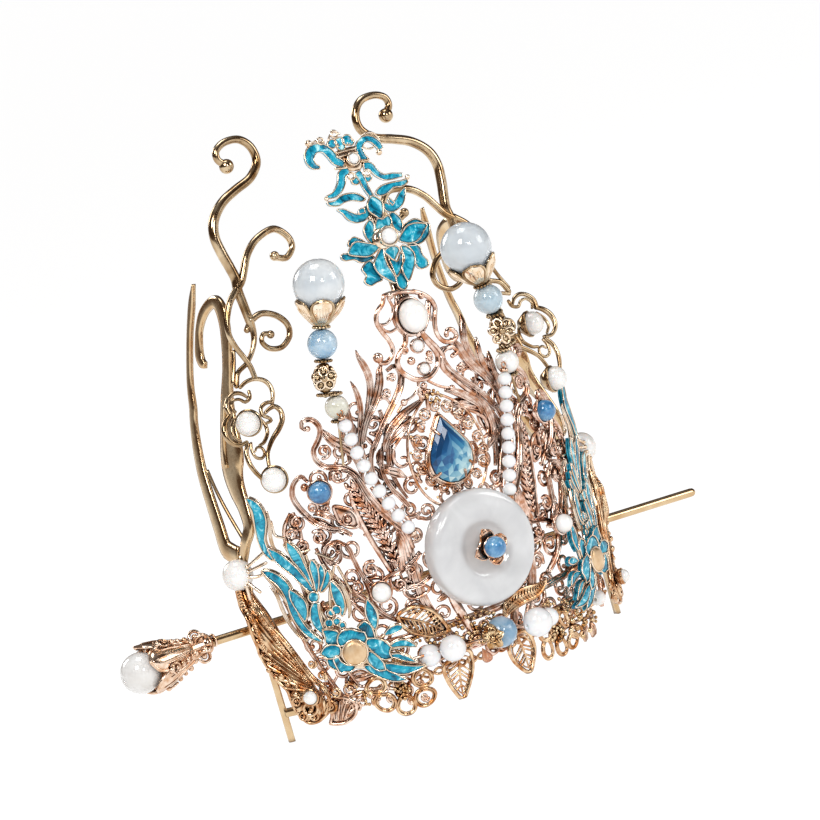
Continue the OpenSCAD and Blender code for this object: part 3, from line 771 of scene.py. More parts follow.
def pearl(name, a="#f8f7f3", b="#ffffff", edge="#dfd6ca", rough=0.16, scale=240, sss=0.25):
    mat, nt, bs = new_mat(name)
    v = coords(nt)
    base = ramp(nt, noise(nt, v, scale, 4, 0.6, 0.8), [(0.3, srgb(a)), (0.68, srgb(b))])
    # painted shade and painted reflection: towards grazing angles the colour turns to the darker edge colour, standing
    # in for shade at the rim and the gold mirrored round the pearl
    lw = nt.nodes.new("ShaderNodeLayerWeight")
    lw.inputs[0].default_value = 0.35
    edge_shade_mask = ramp(nt, lw.outputs["Facing"], [(0.0, (0, 0, 0)), (0.9, (0.8, 0.8, 0.8))])
    col = mix_col(nt, edge_shade_mask, base, srgb(edge))
    nt.links.new(col, bs.inputs["Base Color"])
    nt.links.new(spread(nt, noise(nt, v, 600, 2), rough * 0.8, rough * 1.5), bs.inputs["Roughness"])
    bs.inputs["Subsurface Weight"].default_value = sss
    bs.inputs["Subsurface Radius"].default_value = (1.0, 0.8, 0.7)
    bs.inputs["Subsurface Scale"].default_value = 0.0012
    bs.inputs["Coat Weight"].default_value = 0.7
    bs.inputs["Coat Roughness"].default_value = 0.05
    bump(nt, noise(nt, v, 350, 3), bs, 0.06, 0.0003)
    return mat


def stone(name, deep, mid, light, trans=0.0, rough=0.07, scale=160, sss=0.6, sss_scale=0.003, detail=4, bmp=0.04):
    mat, nt, bs = new_mat(name)
    v = coords(nt)
    base = ramp(nt, noise(nt, v, scale, detail, 0.55, 0.5), [(0.3, srgb(deep)), (0.5, srgb(mid)), (0.7, srgb(light))])
    nt.links.new(base, bs.inputs["Base Color"])
    nt.links.new(spread(nt, noise(nt, v, 500, 2), rough * 0.7, rough * 1.6), bs.inputs["Roughness"])
    bs.inputs["Subsurface Weight"].default_value = sss
    bs.inputs["Subsurface Radius"].default_value = (1.0, 1.0, 1.0)
    bs.inputs["Subsurface Scale"].default_value = sss_scale
    bs.inputs["Transmission Weight"].default_value = trans
    bs.inputs["IOR"].default_value = 1.55
    bs.inputs["Coat Weight"].default_value = 0.5
    bs.inputs["Coat Roughness"].default_value = 0.03
    bump(nt, noise(nt, v, 300, 2), bs, bmp, 0.0003)
    return mat


# the fourth colour of each gold is painted shade, mixed into its recesses
ROSE = gold("rose_gold", "#fee8d5", "#bb7c4f", "#3d1404", (0.09, 0.19), 0.0021, 0.12)
ROSE_D = gold("rose_gold_cast", "#ffebde", "#c18764", "#371104", (0.07, 0.18), 0.0024, 0.1)
BRONZE = gold("bronze_gold", "#dbc4a2", "#95754f", "#231207", (0.07, 0.17), 0.0028, 0.08, 200)
YELLOW = gold("granule_gold", "#f7ddb4", "#b38049", "#3a1c06", (0.1, 0.22), 0.0016, 0.15)
TAN = gold("satin_tan", "#ecd0ab", "#dcb78c", "#8d6a42", (0.36, 0.48), 0.001, 0.05)
COPPER = gold("copper_gold", "#f7dab4", "#b3743f", "#3e1805", (0.09, 0.2), 0.002, 0.2)
CHAMP = gold("champagne_gold", "#e2c9a3", "#cba77a", "#543418", (0.1, 0.2), 0.003, 0.05, 150)
RIM = gold("rim_gold", "#fff1df", "#e4c6a4", "#5f3518", (0.1, 0.2), 0.0012, 0.05)
PIN_GOLD = gold("pin_gold", "#fee9d5", "#d5a884", "#663618", (0.07, 0.17), 0.0015, 0.1)
# a paler copy of the stem gold: painted highlight on the cup petals and flower loops of the stems
CUP_GOLD_HIGHLIGHT = gold("cup_gold_painted_highlight", "#fdf0dd", "#e9c9a2", "#6e4423", (0.06, 0.14), 0.0016, 0.06)
# in each enamel the deep colour also fills recesses as painted shade, and the streak colour is partly a painted
# highlight
BLUE = enamel("blue_enamel", "#044a5f", "#0c83a4", "#27b0cc", "#c4f6fa")
BLUE_L = enamel("blue_enamel_light", "#065e7a", "#1695b4", "#56c6dd", "#dcf8fb")
JADE = stone("milk_jade", "#d6d7d9", "#dfe0e1", "#e9eaeb", 0.1, 0.05, 110, 0.75, 0.004, 3, 0.02)
CLEAR_JADE = stone("clear_milk_jade", "#d3dbe1", "#e0e7ec", "#f3f7f9", 0.22, 0.05, 110, 0.6, 0.004, 3, 0.02)
PIN_JADE = stone("pin_milk_jade", "#e2dfda", "#efedea", "#fbfaf8", 0.1, 0.05, 110, 0.6, 0.004, 3, 0.02)
# the third colour of each pearl tints its edges as painted shade and painted reflection
PEARL = pearl("pearl")
SHELL = pearl("white_shell", "#f3f3f3", "#ffffff", "#dfe3ea", 0.14, 500, 0.35)
CREAM = stone("cream_stone", "#dfddcd", "#ecebdd", "#f9f8f1", 0.12, 0.07, 220, 0.6, 0.002)
CHALC = stone("blue_chalcedony", "#93c0e2", "#aacfe9", "#d3e7f4", 0.25, 0.05, 160, 0.5, 0.002)
CHALC_P = stone("pale_chalcedony", "#b6d0df", "#c9dde8", "#e6f0f5", 0.25, 0.05, 160, 0.5, 0.002)
CHALC_B = stone("base_chalcedony", "#7fabcd", "#95bcd9", "#cfe2f0", 0.25, 0.05, 200, 0.5, 0.002)
BSTONE = stone("blue_stone", "#336f9f", "#4a8dc0", "#86b9dc", 0.05, 0.08, 330, 0.35, 0.0012, 5)
AMBER = stone("amber", "#b4562f", "#d98a5e", "#f3c3a0", 0.45, 0.05, 260, 0.3, 0.002)


def gem_mat():
    mat, nt, bs = new_mat("blue_gem")
    v = coords(nt)
    sep = nt.nodes.new("ShaderNodeSeparateXYZ")
    nt.links.new(v, sep.inputs[0])
    # deep at the upper left, paler at the lower right
    add = nt.nodes.new("ShaderNodeMath"); add.operation = "SUBTRACT"
    nt.links.new(sep.outputs["Z"], add.inputs[0]); nt.links.new(sep.outputs["X"], add.inputs[1])
    g = spread(nt, add.outputs[0], 0.0, 1.0, 0.053, 0.077)
    # painted facet light: each facet's tone is picked by noise from its own normal, standing in for facets that catch
    # or lose the light
    geo = nt.nodes.new("ShaderNodeNewGeometry")
    ns = nt.nodes.new("ShaderNodeVectorMath"); ns.operation = "SCALE"
    ns.inputs["Scale"].default_value = 2.3
    nt.links.new(geo.outputs["True Normal"], ns.inputs[0])
    painted_facet_light = noise(nt, ns.outputs[0], 3.6, 1, 0.5)
    mixv = nt.nodes.new("ShaderNodeMath"); mixv.operation = "MULTIPLY_ADD"
    nt.links.new(painted_facet_light, mixv.inputs[0]); mixv.inputs[1].default_value = 1.25
    nt.links.new(g, mixv.inputs[2])
    col = ramp(nt, spread(nt, mixv.outputs[0], 0.0, 1.0, 0.45, 1.5), [(0.0, srgb("#eef5f1")), (0.22, srgb("#c3d8d8")), (0.42, srgb("#8bb4c0")), (0.6, srgb("#3f80a2")), (0.8, srgb("#235584")), (1.0, srgb("#173a5e"))])
    nt.links.new(col, bs.inputs["Base Color"])
    nt.links.new(spread(nt, noise(nt, v, 700, 2), 0.015, 0.05), bs.inputs["Roughness"])
    bs.inputs["Transmission Weight"].default_value = 0.12
    bs.inputs["IOR"].default_value = 1.6
    # painted glow: the gem emits its own colour, though it is no lamp
    nt.links.new(col, bs.inputs["Emission Color"])
    bs.inputs["Emission Strength"].default_value = 0.26
    bs.inputs["Specular IOR Level"].default_value = 0.3
    return mat


GEM = gem_mat()

# ---------------------------------------------------------------- surfaces
S_PANEL = cyl(70.2)
S_UP = cyl(71.0)
S_OUT = cyl(72.6)
S_VINE = plane((0, 1, -0.11), -26.18)
S_KNOT = plane((0, 1, -0.278), -43.5)
S_HORN = plane((1, 0, -0.2), -62.0)
WING_A = math.asin(-46.4 / 72.3)
S_WING = plane((math.sin(WING_A), -math.cos(WING_A), 0), 46.25)
LOT_A = math.asin(-38.4 / 74.4)
S_LOTUS = plane((math.sin(LOT_A), -math.cos(LOT_A), 0), 45.3)
BUT_A = math.asin(-52.6 / 71.2)
S_BUTTER = plane((math.sin(BUT_A), -math.cos(BUT_A), 0), 48.3)
LEAN = math.radians(10)
S_CREST = plane((0, -math.cos(LEAN), math.sin(LEAN)), 55.73)
S_FRONT = plane((0, -1, 0), 37.0)


def shell_pt(x, z, r):
    return np.array([x, 34 - math.sqrt(r * r - x * x), z])


def shell_n(x, r):
    a = math.asin(x / r)
    return np.array([math.sin(a), -math.cos(a), 0.0])


def crest_pt(x, y, z):
    return np.array([x, -37.3 + y * math.sin(LEAN) - z * math.cos(LEAN), 109.4 + y * math.cos(LEAN) + z * math.sin(LEAN)])


CREST_N = np.array([0, -math.cos(LEAN), math.sin(LEAN)])


def both(M, name, mats, slot, nodes, body="crown", right=None):
    """The left piece and its mirror image."""
    M.make(name + "_left", mats, body, slot, [n + "_L" for n in nodes])
    M.mirror().make(name + "_right", right or mats, body, slot, [n + "_R" for n in nodes])


# ---------------------------------------------------------------- vines and knots
V = Mesh()
vine_main = [(225.5, 165, 4.0), (217.5, 160, 3.8), (216, 151, 3.8), (224, 142.5, 3.9), (238, 139.5, 4.1), (250.5, 147, 4.3), (256.5, 162, 4.5), (250, 178, 4.8), (235.5, 190, 5),
             (222, 203, 5.2), (214, 220, 5.3), (214.5, 237, 5.3), (222, 254, 5.4), (230, 268, 5.3), (235.5, 279, 5.2), (238, 291, 5), (243, 304, 4.8), (250, 322, 4.6)]
px_tube(V, S_VINE, vine_main, k=12)
ball(V, S_VINE[0](226.5, 166.5), 2.05, seg=16, rings=12)
px_tube(V, S_VINE, [(236, 292, 3.4), (241.5, 282, 3.8), (244, 270, 4), (247.5, 254, 3.9), (256.5, 239, 3.9), (273, 229, 3.7), (287, 236, 3.6), (292, 247, 3.4), (286.5, 257.5, 3.4), (276, 257.5, 3.4)], k=12, lift=0.5)
ball(V, S_VINE[0](274.5, 256, 0.5), 1.35, seg=14, rings=10)
# the spiral below, drawn out of the main stem
px_tube(V, S_VINE, [(247, 330, 3.4), (252, 320, 3.6), (262, 313.5, 3.4), (276, 315.5, 3.3), (287, 324, 3.2), (289.5, 336, 3.1), (282, 347, 3), (270, 348.5, 2.9), (262, 342, 2.7), (263, 334.5, 2.6), (269.5, 333.5, 2.7)], k=11, lift=-0.4)
ball(V, S_VINE[0](270.5, 334.5, -0.4), 1.15, seg=14, rings=10)
px_tube(V, S_VINE, [(250, 320, 4.2), (254, 336, 3.2), (252.5, 350, 2.7), (247, 363, 2.6), (238, 373, 2.6), (236.5, 386, 2.8)], k=10, lift=0.2)
px_tube(V, S_VINE, [(236, 290, 3.6), (229.5, 304, 3.5), (227, 322, 3.2), (229.5, 336, 3), (236, 347.5, 2.9), (243.5, 357, 2.9), (250.5, 367, 2.9), (255.3, 378.5, 2.9)], k=10, lift=0.5)
px_tube(V, S_VINE, [(233.5, 352, 2.2), (234, 365, 2.1), (233, 383, 2.2)], k=8, lift=-0.2)
kc = crop(205, 350, 9.22)
arch = kc([(325, 345, 18), (378, 295, 20), (455, 268, 22), (540, 280, 23), (598, 330, 23), (625, 405, 22), (618, 495, 20)])
px_tube(V, S_KNOT, arch, k=10)
px_tube(V, S_KNOT, kc([(620, 480, 18), (560, 490, 20), (515, 535, 20), (530, 600, 20), (585, 625, 18), (612, 650, 16), (575, 672, 16)]), k=9, lift=0.2)
px_tube(V, S_KNOT, kc([(560, 575, 18), (590, 545, 20), (640, 520, 24), (695, 560, 26), (712, 640, 27), (680, 730, 27), (630, 810, 25), (595, 890, 22), (578, 970, 20), (592, 1080, 18)]), k=10, lift=0.6)
px_tube(V, S_KNOT, kc([(395, 440, 14), (330, 402, 20), (260, 405, 22), (212, 455, 23), (200, 530, 24), (232, 600, 24)]), k=10, lift=0.3)
px_tube(V, S_KNOT, kc([(405, 385, 18), (415, 440, 18), (370, 480, 18), (315, 455, 16), (260, 470, 14), (245, 530, 14), (280, 570, 14)]), k=8, lift=0.7)
px_tube(V, S_KNOT, kc([(235, 595, 22), (195, 650, 26), (178, 730, 28), (200, 810, 26), (250, 862, 22), (320, 880, 20), (385, 850, 18)]), k=10, lift=0.2)
px_tube(V, S_KNOT, kc([(262, 640, 14), (245, 720, 16), (265, 800, 16), (330, 842, 14)]), k=8, lift=0.0)
px_tube(V, S_KNOT, kc([(515, 640, 14), (560, 700, 20), (575, 770, 20), (545, 850, 18), (505, 880, 15)]), k=8, lift=0.2)
px_tube(V, S_KNOT, kc([(425, 860, 14), (432, 930, 16), (470, 990, 16), (525, 998, 16), (550, 950, 15), (520, 900, 14), (478, 900, 13), (462, 935, 12)]), k=8, lift=0.5)
px_tube(V, S_KNOT, kc([(392, 870, 22), (382, 950, 24), (410, 1045, 24), (465, 1125, 22), (530, 1190, 20)]), k=10, lift=0.3)
K1 = shell_pt(-46.4, 88, 71.2)
K1n = shell_n(-46.4, 71.2)
K2 = shell_pt(-46, 72, 74.6)
K2n = shell_n(-46, 74.6)


def bezel(M, c, n, r, depth, wall=0.45, mat=0, lip=0.28):
    """A cup round a stone of radius r centred on c."""
    rows = [(0, -r - 0.5), (r * 0.6, -r - 0.5), (r + wall, min(-r * 0.35 - 0.4, depth - 0.5)), (r + wall, depth), (r + wall * 0.75, depth + lip), (r + 0.05, depth + lip * 0.7), (r + 0.02, -r * 0.3), (0, -r + 0.05 - 0.15)]
    lathe(M, c, n, rows, 30, mat)
    torus(M, np.array(c) + n * depth, n, r + wall * 0.7, lip * 0.9, 30, 7, mat)


for c, n, r in ((K1, K1n, 3.3), (K2, K2n, 3.35)):
    bezel(V, c, n, r, -0.9, 0.4)
both(V, "vine", [BRONZE], "rose_gold", ["vine"])


def stud(name, c, n, r, mat, slot, nodes, seed=1, squash=0.97):
    M = Mesh()
    lathe(M, c, n, smooth_prof([(0, -r * squash), (r * .5, -r * .86 * squash), (r * .87, -r * .5 * squash), (r, 0), (r * .87, r * .5 * squash), (r * .5, r * .86 * squash), (0, r * squash)], r * 0.16), 30, 0, wobble=0.008, seed=seed)
    return M


for nm, c, n, r, mat, slot, node in (
        ("knot_pearl", K1, K1n, 3.28, PEARL, "pearl", "knot_pearl"),
        ("bezel_pearl", K2, K2n, 3.33, PEARL, "pearl", "bezel_pearl"),
        ("blue_cab", shell_pt(-36.8, 65.4, 74.2), shell_n(-36.8, 74.2), 3.0, BSTONE, "blue_stone", "blue_cab"),
        ("small_cab", shell_pt(-29.8, 35, 75.6), shell_n(-29.8, 75.6), 2.6, PEARL, "pearl", "small_cab"),
        ("side_pearl", shell_pt(-56.9, 48.7, 71.6), shell_n(-56.9, 71.6), 4.3, PEARL, "pearl", "side_pearl")):
    both(stud(nm, c, n, r, mat, slot, [node], seed=len(nm)), nm, [mat], slot, [node])

# ---------------------------------------------------------------- crest and top lotus
c1 = crop(295, 95, 7.464)


def c_cell(M, pts, lift=0.0, fill=0, rim=0.22, depth=0.8, dome=0.22, surf=S_CREST):
    loop = outline_px(surf, c1(pts), lift, 0.6)
    cell(M, loop, surf[1](loop[0]), rim, depth, fill, 1, dome)


def c_plume(M, pts, lift=0.0, fill=0, rim=0.21, depth=0.7):
    rows = [r[:3] + [r[3] * 1.28] for r in px_rows(S_CREST, c1(pts), lift=lift)]
    plume(M, rows, S_CREST[1], rim, depth, fill, 1)


C = Mesh()
# bud and its leaves
c_cell(C, [(577, 752), (548, 785), (540, 830), (552, 868), (592, 897), (640, 925), (656, 890), (657, 835), (638, 785)], 0.9)
c_cell(C, [(240, 800), (290, 792), (340, 752), (400, 735), (465, 737), (522, 772), (498, 795), (425, 788), (370, 803), (325, 828), (262, 828)], 0.5)
c_plume(C, [(318, 858, 4), (365, 872, 16), (410, 905, 26), (460, 922, 26), (512, 905, 24), (535, 870, 20), (520, 838, 6)], 0.1)
c_plume(C, [(480, 892, 3), (492, 868, 14), (520, 862, 14)], 0.25)
c_cell(C, [(604, 738), (614, 702), (655, 672), (720, 652), (780, 641), (836, 628), (838, 655), (795, 682), (742, 688), (695, 730), (640, 752)], 0.5)
c_plume(C, [(820, 692, 4), (800, 740, 20), (775, 800, 26), (730, 836, 26), (690, 838, 24), (672, 808, 8)], 0.1)
c_plume(C, [(735, 812, 12), (712, 790, 10), (700, 770, 3)], 0.2)
# stem and arms
c_plume(C, [(466, 575, 22), (500, 630, 20), (530, 690, 18), (572, 755, 14)], 0.4)
c_plume(C, [(395, 560, 24), (352, 590, 24), (348, 645, 24), (330, 700, 22), (292, 745, 17), (240, 765, 8)], 0.35)
c_plume(C, [(512, 528, 20), (560, 532, 22), (605, 580, 19), (665, 612, 17), (730, 605, 18), (800, 596, 10)], 0.35)
# hooks
c_plume(C, [(362, 515, 20), (305, 492, 26), (262, 440, 28), (210, 400, 25), (150, 400, 27), (112, 440, 30), (110, 492, 27), (140, 530, 20), (185, 542, 7)], 0.3)
c_plume(C, [(530, 488, 20), (495, 452, 24), (476, 398, 22), (492, 350, 20), (532, 326, 18), (580, 336, 20), (618, 368, 21), (640, 402, 16)], 0.3)
# little sepals under the pearl
c_cell(C, [(420, 640), (435, 615), (470, 620), (485, 640), (465, 668), (435, 665)], 0.2)
c_cell(C, [(505, 610), (540, 600), (572, 612), (560, 640), (530, 650), (510, 640)], 0.2)
# knob at the top
for x, y, r in ((275, 365, 34), (330, 350, 34), (385, 335, 38), (412, 352, 26), (345, 385, 30)):
    loop = [S_CREST[0](*c1([(x + r * math.cos(w), y + r * math.sin(w))])[0], 0.3 + r * 0.004) for w in np.linspace(0, 2 * math.pi, 12, endpoint=False)]
    cell(C, spline(loop, 0.5, closed=True), CREST_N, 0.22, 0.8, 0, 1, 0.35)
bars = [((310, 432), (450, 395)), ((315, 462), (462, 428)), ((305, 550), (382, 540)), ((500, 492), (548, 482))]
for a, b in bars:
    pa, pb = c1([a])[0], c1([b])[0]
    tube(C, [S_CREST[0](*pa, 0.5), S_CREST[0](*pb, 0.5)], 0.42, k=8, mat=1)
plate(C, outline_px(S_CREST, c1([(300, 425), (455, 385), (480, 440), (500, 500), (480, 560), (400, 570), (340, 540), (318, 480)]), -0.6), CREST_N, 0.9, 1)
for x, y, r in ((100, 362, 26), (290, 292, 34), (188, 345, 32), (627, 428, 24), (838, 612, 20), (420, 606, 34), (535, 585, 32), (235, 775, 18)):
    p = S_CREST[0](*c1([(x, y)])[0], 0.3)
    if r > 30:
        torus(C, p, CREST_N, (r - 8) / 7.464 * MMPX, 0.33, 18, 8, 1)
    else:
        ball(C, p, r / 7.464 * MMPX, 1)
px_tube(C, S_CREST, c1([(75, 470, 9), (78, 430, 9), (105, 385, 9), (150, 345, 9), (215, 355, 9)]), mat=1, k=8)
px_tube(C, S_CREST, c1([(250, 330, 9), (262, 300, 9), (290, 275, 9), (330, 290, 9)]), mat=1, k=8)
px_tube(C, S_CREST, c1([(500, 305, 9), (545, 278, 10), (590, 292, 10), (625, 330, 9)]), mat=1, k=8)
px_tube(C, S_CREST, c1([(500, 370, 7), (530, 400, 8), (575, 395, 8), (598, 370, 6)]), mat=1, k=8)
cp = crest_pt(0, 38.6, 1.6)
bezel(C, cp, CREST_N, 1.5, 0.0, 0.35, 1)
# neck of metal from the panel up through the lotus to the bud
for x in (-1.6, 0, 1.6):
    tube(C, [crest_pt(x, -1, -0.6), crest_pt(x * 0.7, 8, -0.8), crest_pt(x * 0.5, 16, -0.9), crest_pt(x * .3, 24, -0.7)], 0.7, mat=1)
C.make("crest_enamel", [BLUE, RIM], "crown", "blue_enamel", ["crest"])

L = Mesh()
# petals behind
c_cell(L, [(800, 1000), (845, 945), (900, 925), (962, 950), (1000, 960), (1000, 1030), (960, 1090), (900, 1120), (840, 1110)], 0.5, 0, 0.27)
c_cell(L, [(845, 1110), (895, 1108), (935, 1140), (950, 1190), (992, 1238), (990, 1278), (940, 1298), (905, 1270), (885, 1200)], 0.7)
c_cell(L, [(772, 1265), (800, 1330), (838, 1390), (832, 1440), (800, 1452), (765, 1420), (752, 1340)], 0.8)
c_cell(L, [(560, 1238), (520, 1262), (500, 1302), (532, 1350), (520, 1395), (562, 1425), (612, 1400), (650, 1378), (612, 1320), (590, 1270)], 0.6)
c_cell(L, [(400, 1188), (352, 1188), (345, 1218), (375, 1238), (440, 1230), (490, 1252), (545, 1240), (590, 1210), (520, 1190)], 0.5)
c_cell(L, [(520, 1100), (440, 1062), (400, 1095), (402, 1130), (440, 1120)], 0.4)
c_cell(L, [(700, 900), (720, 875), (752, 885), (792, 932), (803, 985), (785, 1025), (745, 1000), (715, 950)], 0.7)
c_cell(L, [(560, 932), (530, 960), (513, 1012), (530, 1062), (575, 1112), (612, 1112), (590, 1040), (590, 970)], 0.9)
c_cell(L, [(612, 925), (596, 1000), (630, 1030), (690, 990), (720, 960), (700, 900), (650, 925)], 1.0, 2)
# petals in front
c_cell(L, [(772, 1082), (800, 1025), (835, 978), (892, 955), (962, 958), (982, 972), (955, 1025), (930, 1072), (880, 1102), (820, 1104)], 1.5)
c_cell(L, [(632, 1130), (580, 1112), (520, 1102), (462, 1095), (430, 1112), (402, 1160), (400, 1190), (470, 1204), (545, 1205), (598, 1178)], 1.5, 2)
c_cell(L, [(648, 1138), (605, 1212), (590, 1272), (622, 1330), (682, 1372), (748, 1402), (752, 1368), (722, 1318), (690, 1268), (668, 1208)], 1.6, 2)
c_cell(L, [(790, 1128), (838, 1130), (882, 1172), (897, 1235), (880, 1312), (850, 1388), (820, 1350), (798, 1290), (815, 1215)], 1.6, 2)
c_cell(L, [(700, 1205), (760, 1240), (790, 1170), (805, 1225), (790, 1300), (760, 1355), (735, 1310)], 1.3)
c_cell(L, [(668, 1165), (715, 1128), (762, 1132), (778, 1158), (762, 1192), (738, 1232), (700, 1202)], 1.9, 2)
tc = crest_pt(0, 15.6, 4.9)
bezel(L, tc, CREST_N, 2.25, -0.1, 0.5, 1, 0.32)
lathe(L, tc - CREST_N * 2.6, CREST_N, [(0, -2.2), (3.2, -2.2), (3.4, -1.4), (2.6, -0.2), (0, -0.1)], 26, 1)
L.make("top_lotus_enamel", [BLUE, RIM, BLUE_L], "crown", "blue_enamel", ["top_lotus"])
stud("tp", tc, CREST_N, 2.2, PEARL, "pearl", []).make("top_pearl_bead", [PEARL], "crown", "pearl", ["top_pearl"])
SP = Mesh()
for c, n, r in ((np.array([0, -38, 88.4]), np.array([0, -1.0, 0]), 1.5), (np.array([0, -38, 94.9]), np.array([0, -1.0, 0]), 1.65), (cp, CREST_N, 1.45)):
    SP.join(stud("s", c, n, r, None, None, []))
bc = shell_pt(-52.6, 24, 71.2)
bn = shell_n(-52.6, 71.2)
ba = np.array([-bn[1], bn[0], 0.0])   # local x of the side plate, towards the crown's middle
for sg in (-1, 1):
    q = bc + ba * 5.6 + np.array([0, 0, -11.6]) + bn * 4.2
    m = stud("s", q, bn, 1.9, None, None, [])
    SP.join(m if sg < 0 else m.mirror())
SP.make("small_pearl_set", [PEARL], "crown", "pearl", ["small_pearls"])

# ---------------------------------------------------------------- enamel wings and side lotuses
W = Mesh()


def w_plume(pts, lift=0.0, fill=0, rim=0.25, depth=0.9):
    rows = [r[:3] + [r[3] * 1.14] for r in px_rows(S_WING, pts, lift=lift)]
    plume(W, rows, S_WING[1], rim, depth, fill, 1, flange=0.42, back=3)


w_plume([(245.6, 497.8, .4), (252, 503.5, 3.2), (257, 510.5, 4.6), (259.8, 520, 5.4), (260.4, 530, 4.6), (261.2, 540, 3.2), (264.5, 549, 2.7), (269.5, 555.5, 2.5), (274, 560, 1.3)], 0.6)
px_strap(W, S_WING, [(267, 511, .8), (270, 524, 1.8), (270.5, 536, 2), (273.5, 547, 1.8), (279, 552, .8)], kind="ridge", mat=1, t=0.8, lift=-0.2)
w_plume([(268, 549, .8), (276, 556, 3.8), (284, 563, 4.4), (294, 571.5, 3.9), (306, 584.5, 2.9), (315, 594, 1.2)], 0.7)
w_plume([(286.5, 542, .4), (290.5, 548.5, 3.4), (295.5, 556.5, 4.4), (301, 565, 3.2), (306.5, 574, 2), (312, 586, .9)], 1.0, 2)
w_plume([(303, 565, .4), (305.5, 570, 2.5), (309, 577, 2.5), (313.5, 588, .9)], 0.6)
w_plume([(311.5, 560, .6), (313, 566, 3.2), (315, 574, 3.2), (316.5, 583, 2.2), (316.5, 592, .9)], 1.1, 2)
w_plume([(320.5, 564.5, .6), (321, 570.5, 2.8), (321, 578, 2.7), (318.5, 590, 1)], 0.8)
w_plume([(327.5, 570.5, .6), (327.5, 576.5, 2.5), (325.5, 584, 2.3), (321, 592, .9)], 0.5)
w_plume([(262, 571, .5), (269, 574.5, 3.1), (277, 579.5, 4), (284.5, 587, 4.2), (289.5, 598, 3.6), (293, 610, 3.2), (299, 622, 3), (307, 632, 2.8), (316, 638.5, 2), (322, 641.5, .8)], 0.8)
px_strap(W, S_WING, [(270, 586, .8), (277, 595, 1.8), (282, 608, 2), (289, 622, 1.9), (299, 635, 1.6), (308, 641, .8)], kind="ridge", mat=1, t=0.8, lift=-0.3)
w_plume([(289.5, 590, .5), (294, 596.5, 4), (299.8, 604, 5.4), (303.5, 613, 3.8), (305, 621, .7)], 1.1, 2)
w_plume([(316, 602.5, 1.8), (314.5, 610, 3.6), (315.5, 619, 4.2), (319.5, 627.5, 3.2), (325.5, 634, 1.1)], 1.0)
w_plume([(330.5, 581, .5), (334.5, 589, 3.4), (338, 597, 4.6), (341.5, 607, 3.4), (342.3, 616, .6)], 1.0, 2)
px_strap(W, S_WING, [(336, 576, .8), (343, 586, 1.8), (348, 598, 2.3), (350, 609, 2), (349, 618, .8)], kind="ridge", mat=1, t=0.8, lift=0.2)


def disc_cell(M, x, y, r, surf, lift, fill=0, gold=1, rim=0.26, dome=0.35):
    c = surf[0](x, y, lift)
    a, b, n = basis(surf[1](c))
    loop = [c + (a * math.cos(w) + b * math.sin(w)) * r * MMPX for w in np.linspace(0, 2 * math.pi, 20, endpoint=False)]
    cell(M, loop, n, rim, 0.8, fill, gold, dome)


disc_cell(W, 313.6, 597, 5.4, S_WING, 1.5)
for x, y, r in ((336.4, 610, 4.6), (329, 623, 4.2), (337, 621.5, 3.8), (342.5, 625, 3.4), (331, 613, 3.2)):
    disc_cell(W, x, y, r, S_WING, 1.2)
# veins behind the plumes, and the fluted edge of the fan
for pts in ([(250, 503, 2), (260, 535, 2.4), (276, 557, 2.4), (296, 577, 2.4), (314, 600, 2.4), (330, 626, 2.2), (342, 640, 2)],
            [(262, 572, 1.6), (284, 598, 2), (300, 625, 2), (322, 643, 1.8)],
            [(306, 556, 1.6), (316, 590, 2), (316, 622, 2)], [(334, 566, 1.4), (330, 594, 1.8), (332, 620, 1.8)], [(284, 545, 1.4), (300, 572, 1.8), (314, 594, 1.8)]):
    px_tube(W, S_WING, pts, lift=-0.9, mat=1, k=7)
for pts in ([(271, 522), (275, 535), (284, 538)], [(293, 546), (300, 552), (309, 550)], [(316, 553), (324, 556), (332, 559)], [(338, 567), (345, 580), (351, 592)]):
    px_tube(W, S_WING, [(x, y, 1.5) for x, y in pts], lift=-0.7, mat=1, k=6)
# claw from the wing's root round the side pearl
for pts in ([(247, 567), (254, 561), (263, 553)], [(248, 572), (256, 568), (266, 563)], [(248.5, 577), (256, 577), (265, 574)], [(247, 582), (253, 587), (260, 592)], [(246, 586), (248, 592), (250, 599)]):
    px_tube(W, S_WING, [(x, y, 1.7) for x, y in pts], lift=-0.4, mat=1, k=7)
    ball(W, S_WING[0](pts[0][0], pts[0][1], -0.2), 0.62, 1, 8, 6)
both(W, "wing", [BLUE, RIM, BLUE_L, RIM], "blue_enamel", ["wing"], right=[BLUE, RIM, BLUE_L, BLUE])

T = Mesh()


def t_cell(pts, lift=0.0, fill=0, rim=0.24, depth=0.9, dome=0.25):
    loop = outline_px(S_LOTUS, pts, lift, 0.6)
    cell(T, loop, S_LOTUS[1](loop[0]), rim, depth, fill, 1, dome, flange=0.3, back=4)


def t_plume(pts, lift=0.0, fill=0):
    plume(T, px_rows(S_LOTUS, pts, lift=lift), S_LOTUS[1], 0.24, 0.9, fill, 1, flange=0.35, back=4)


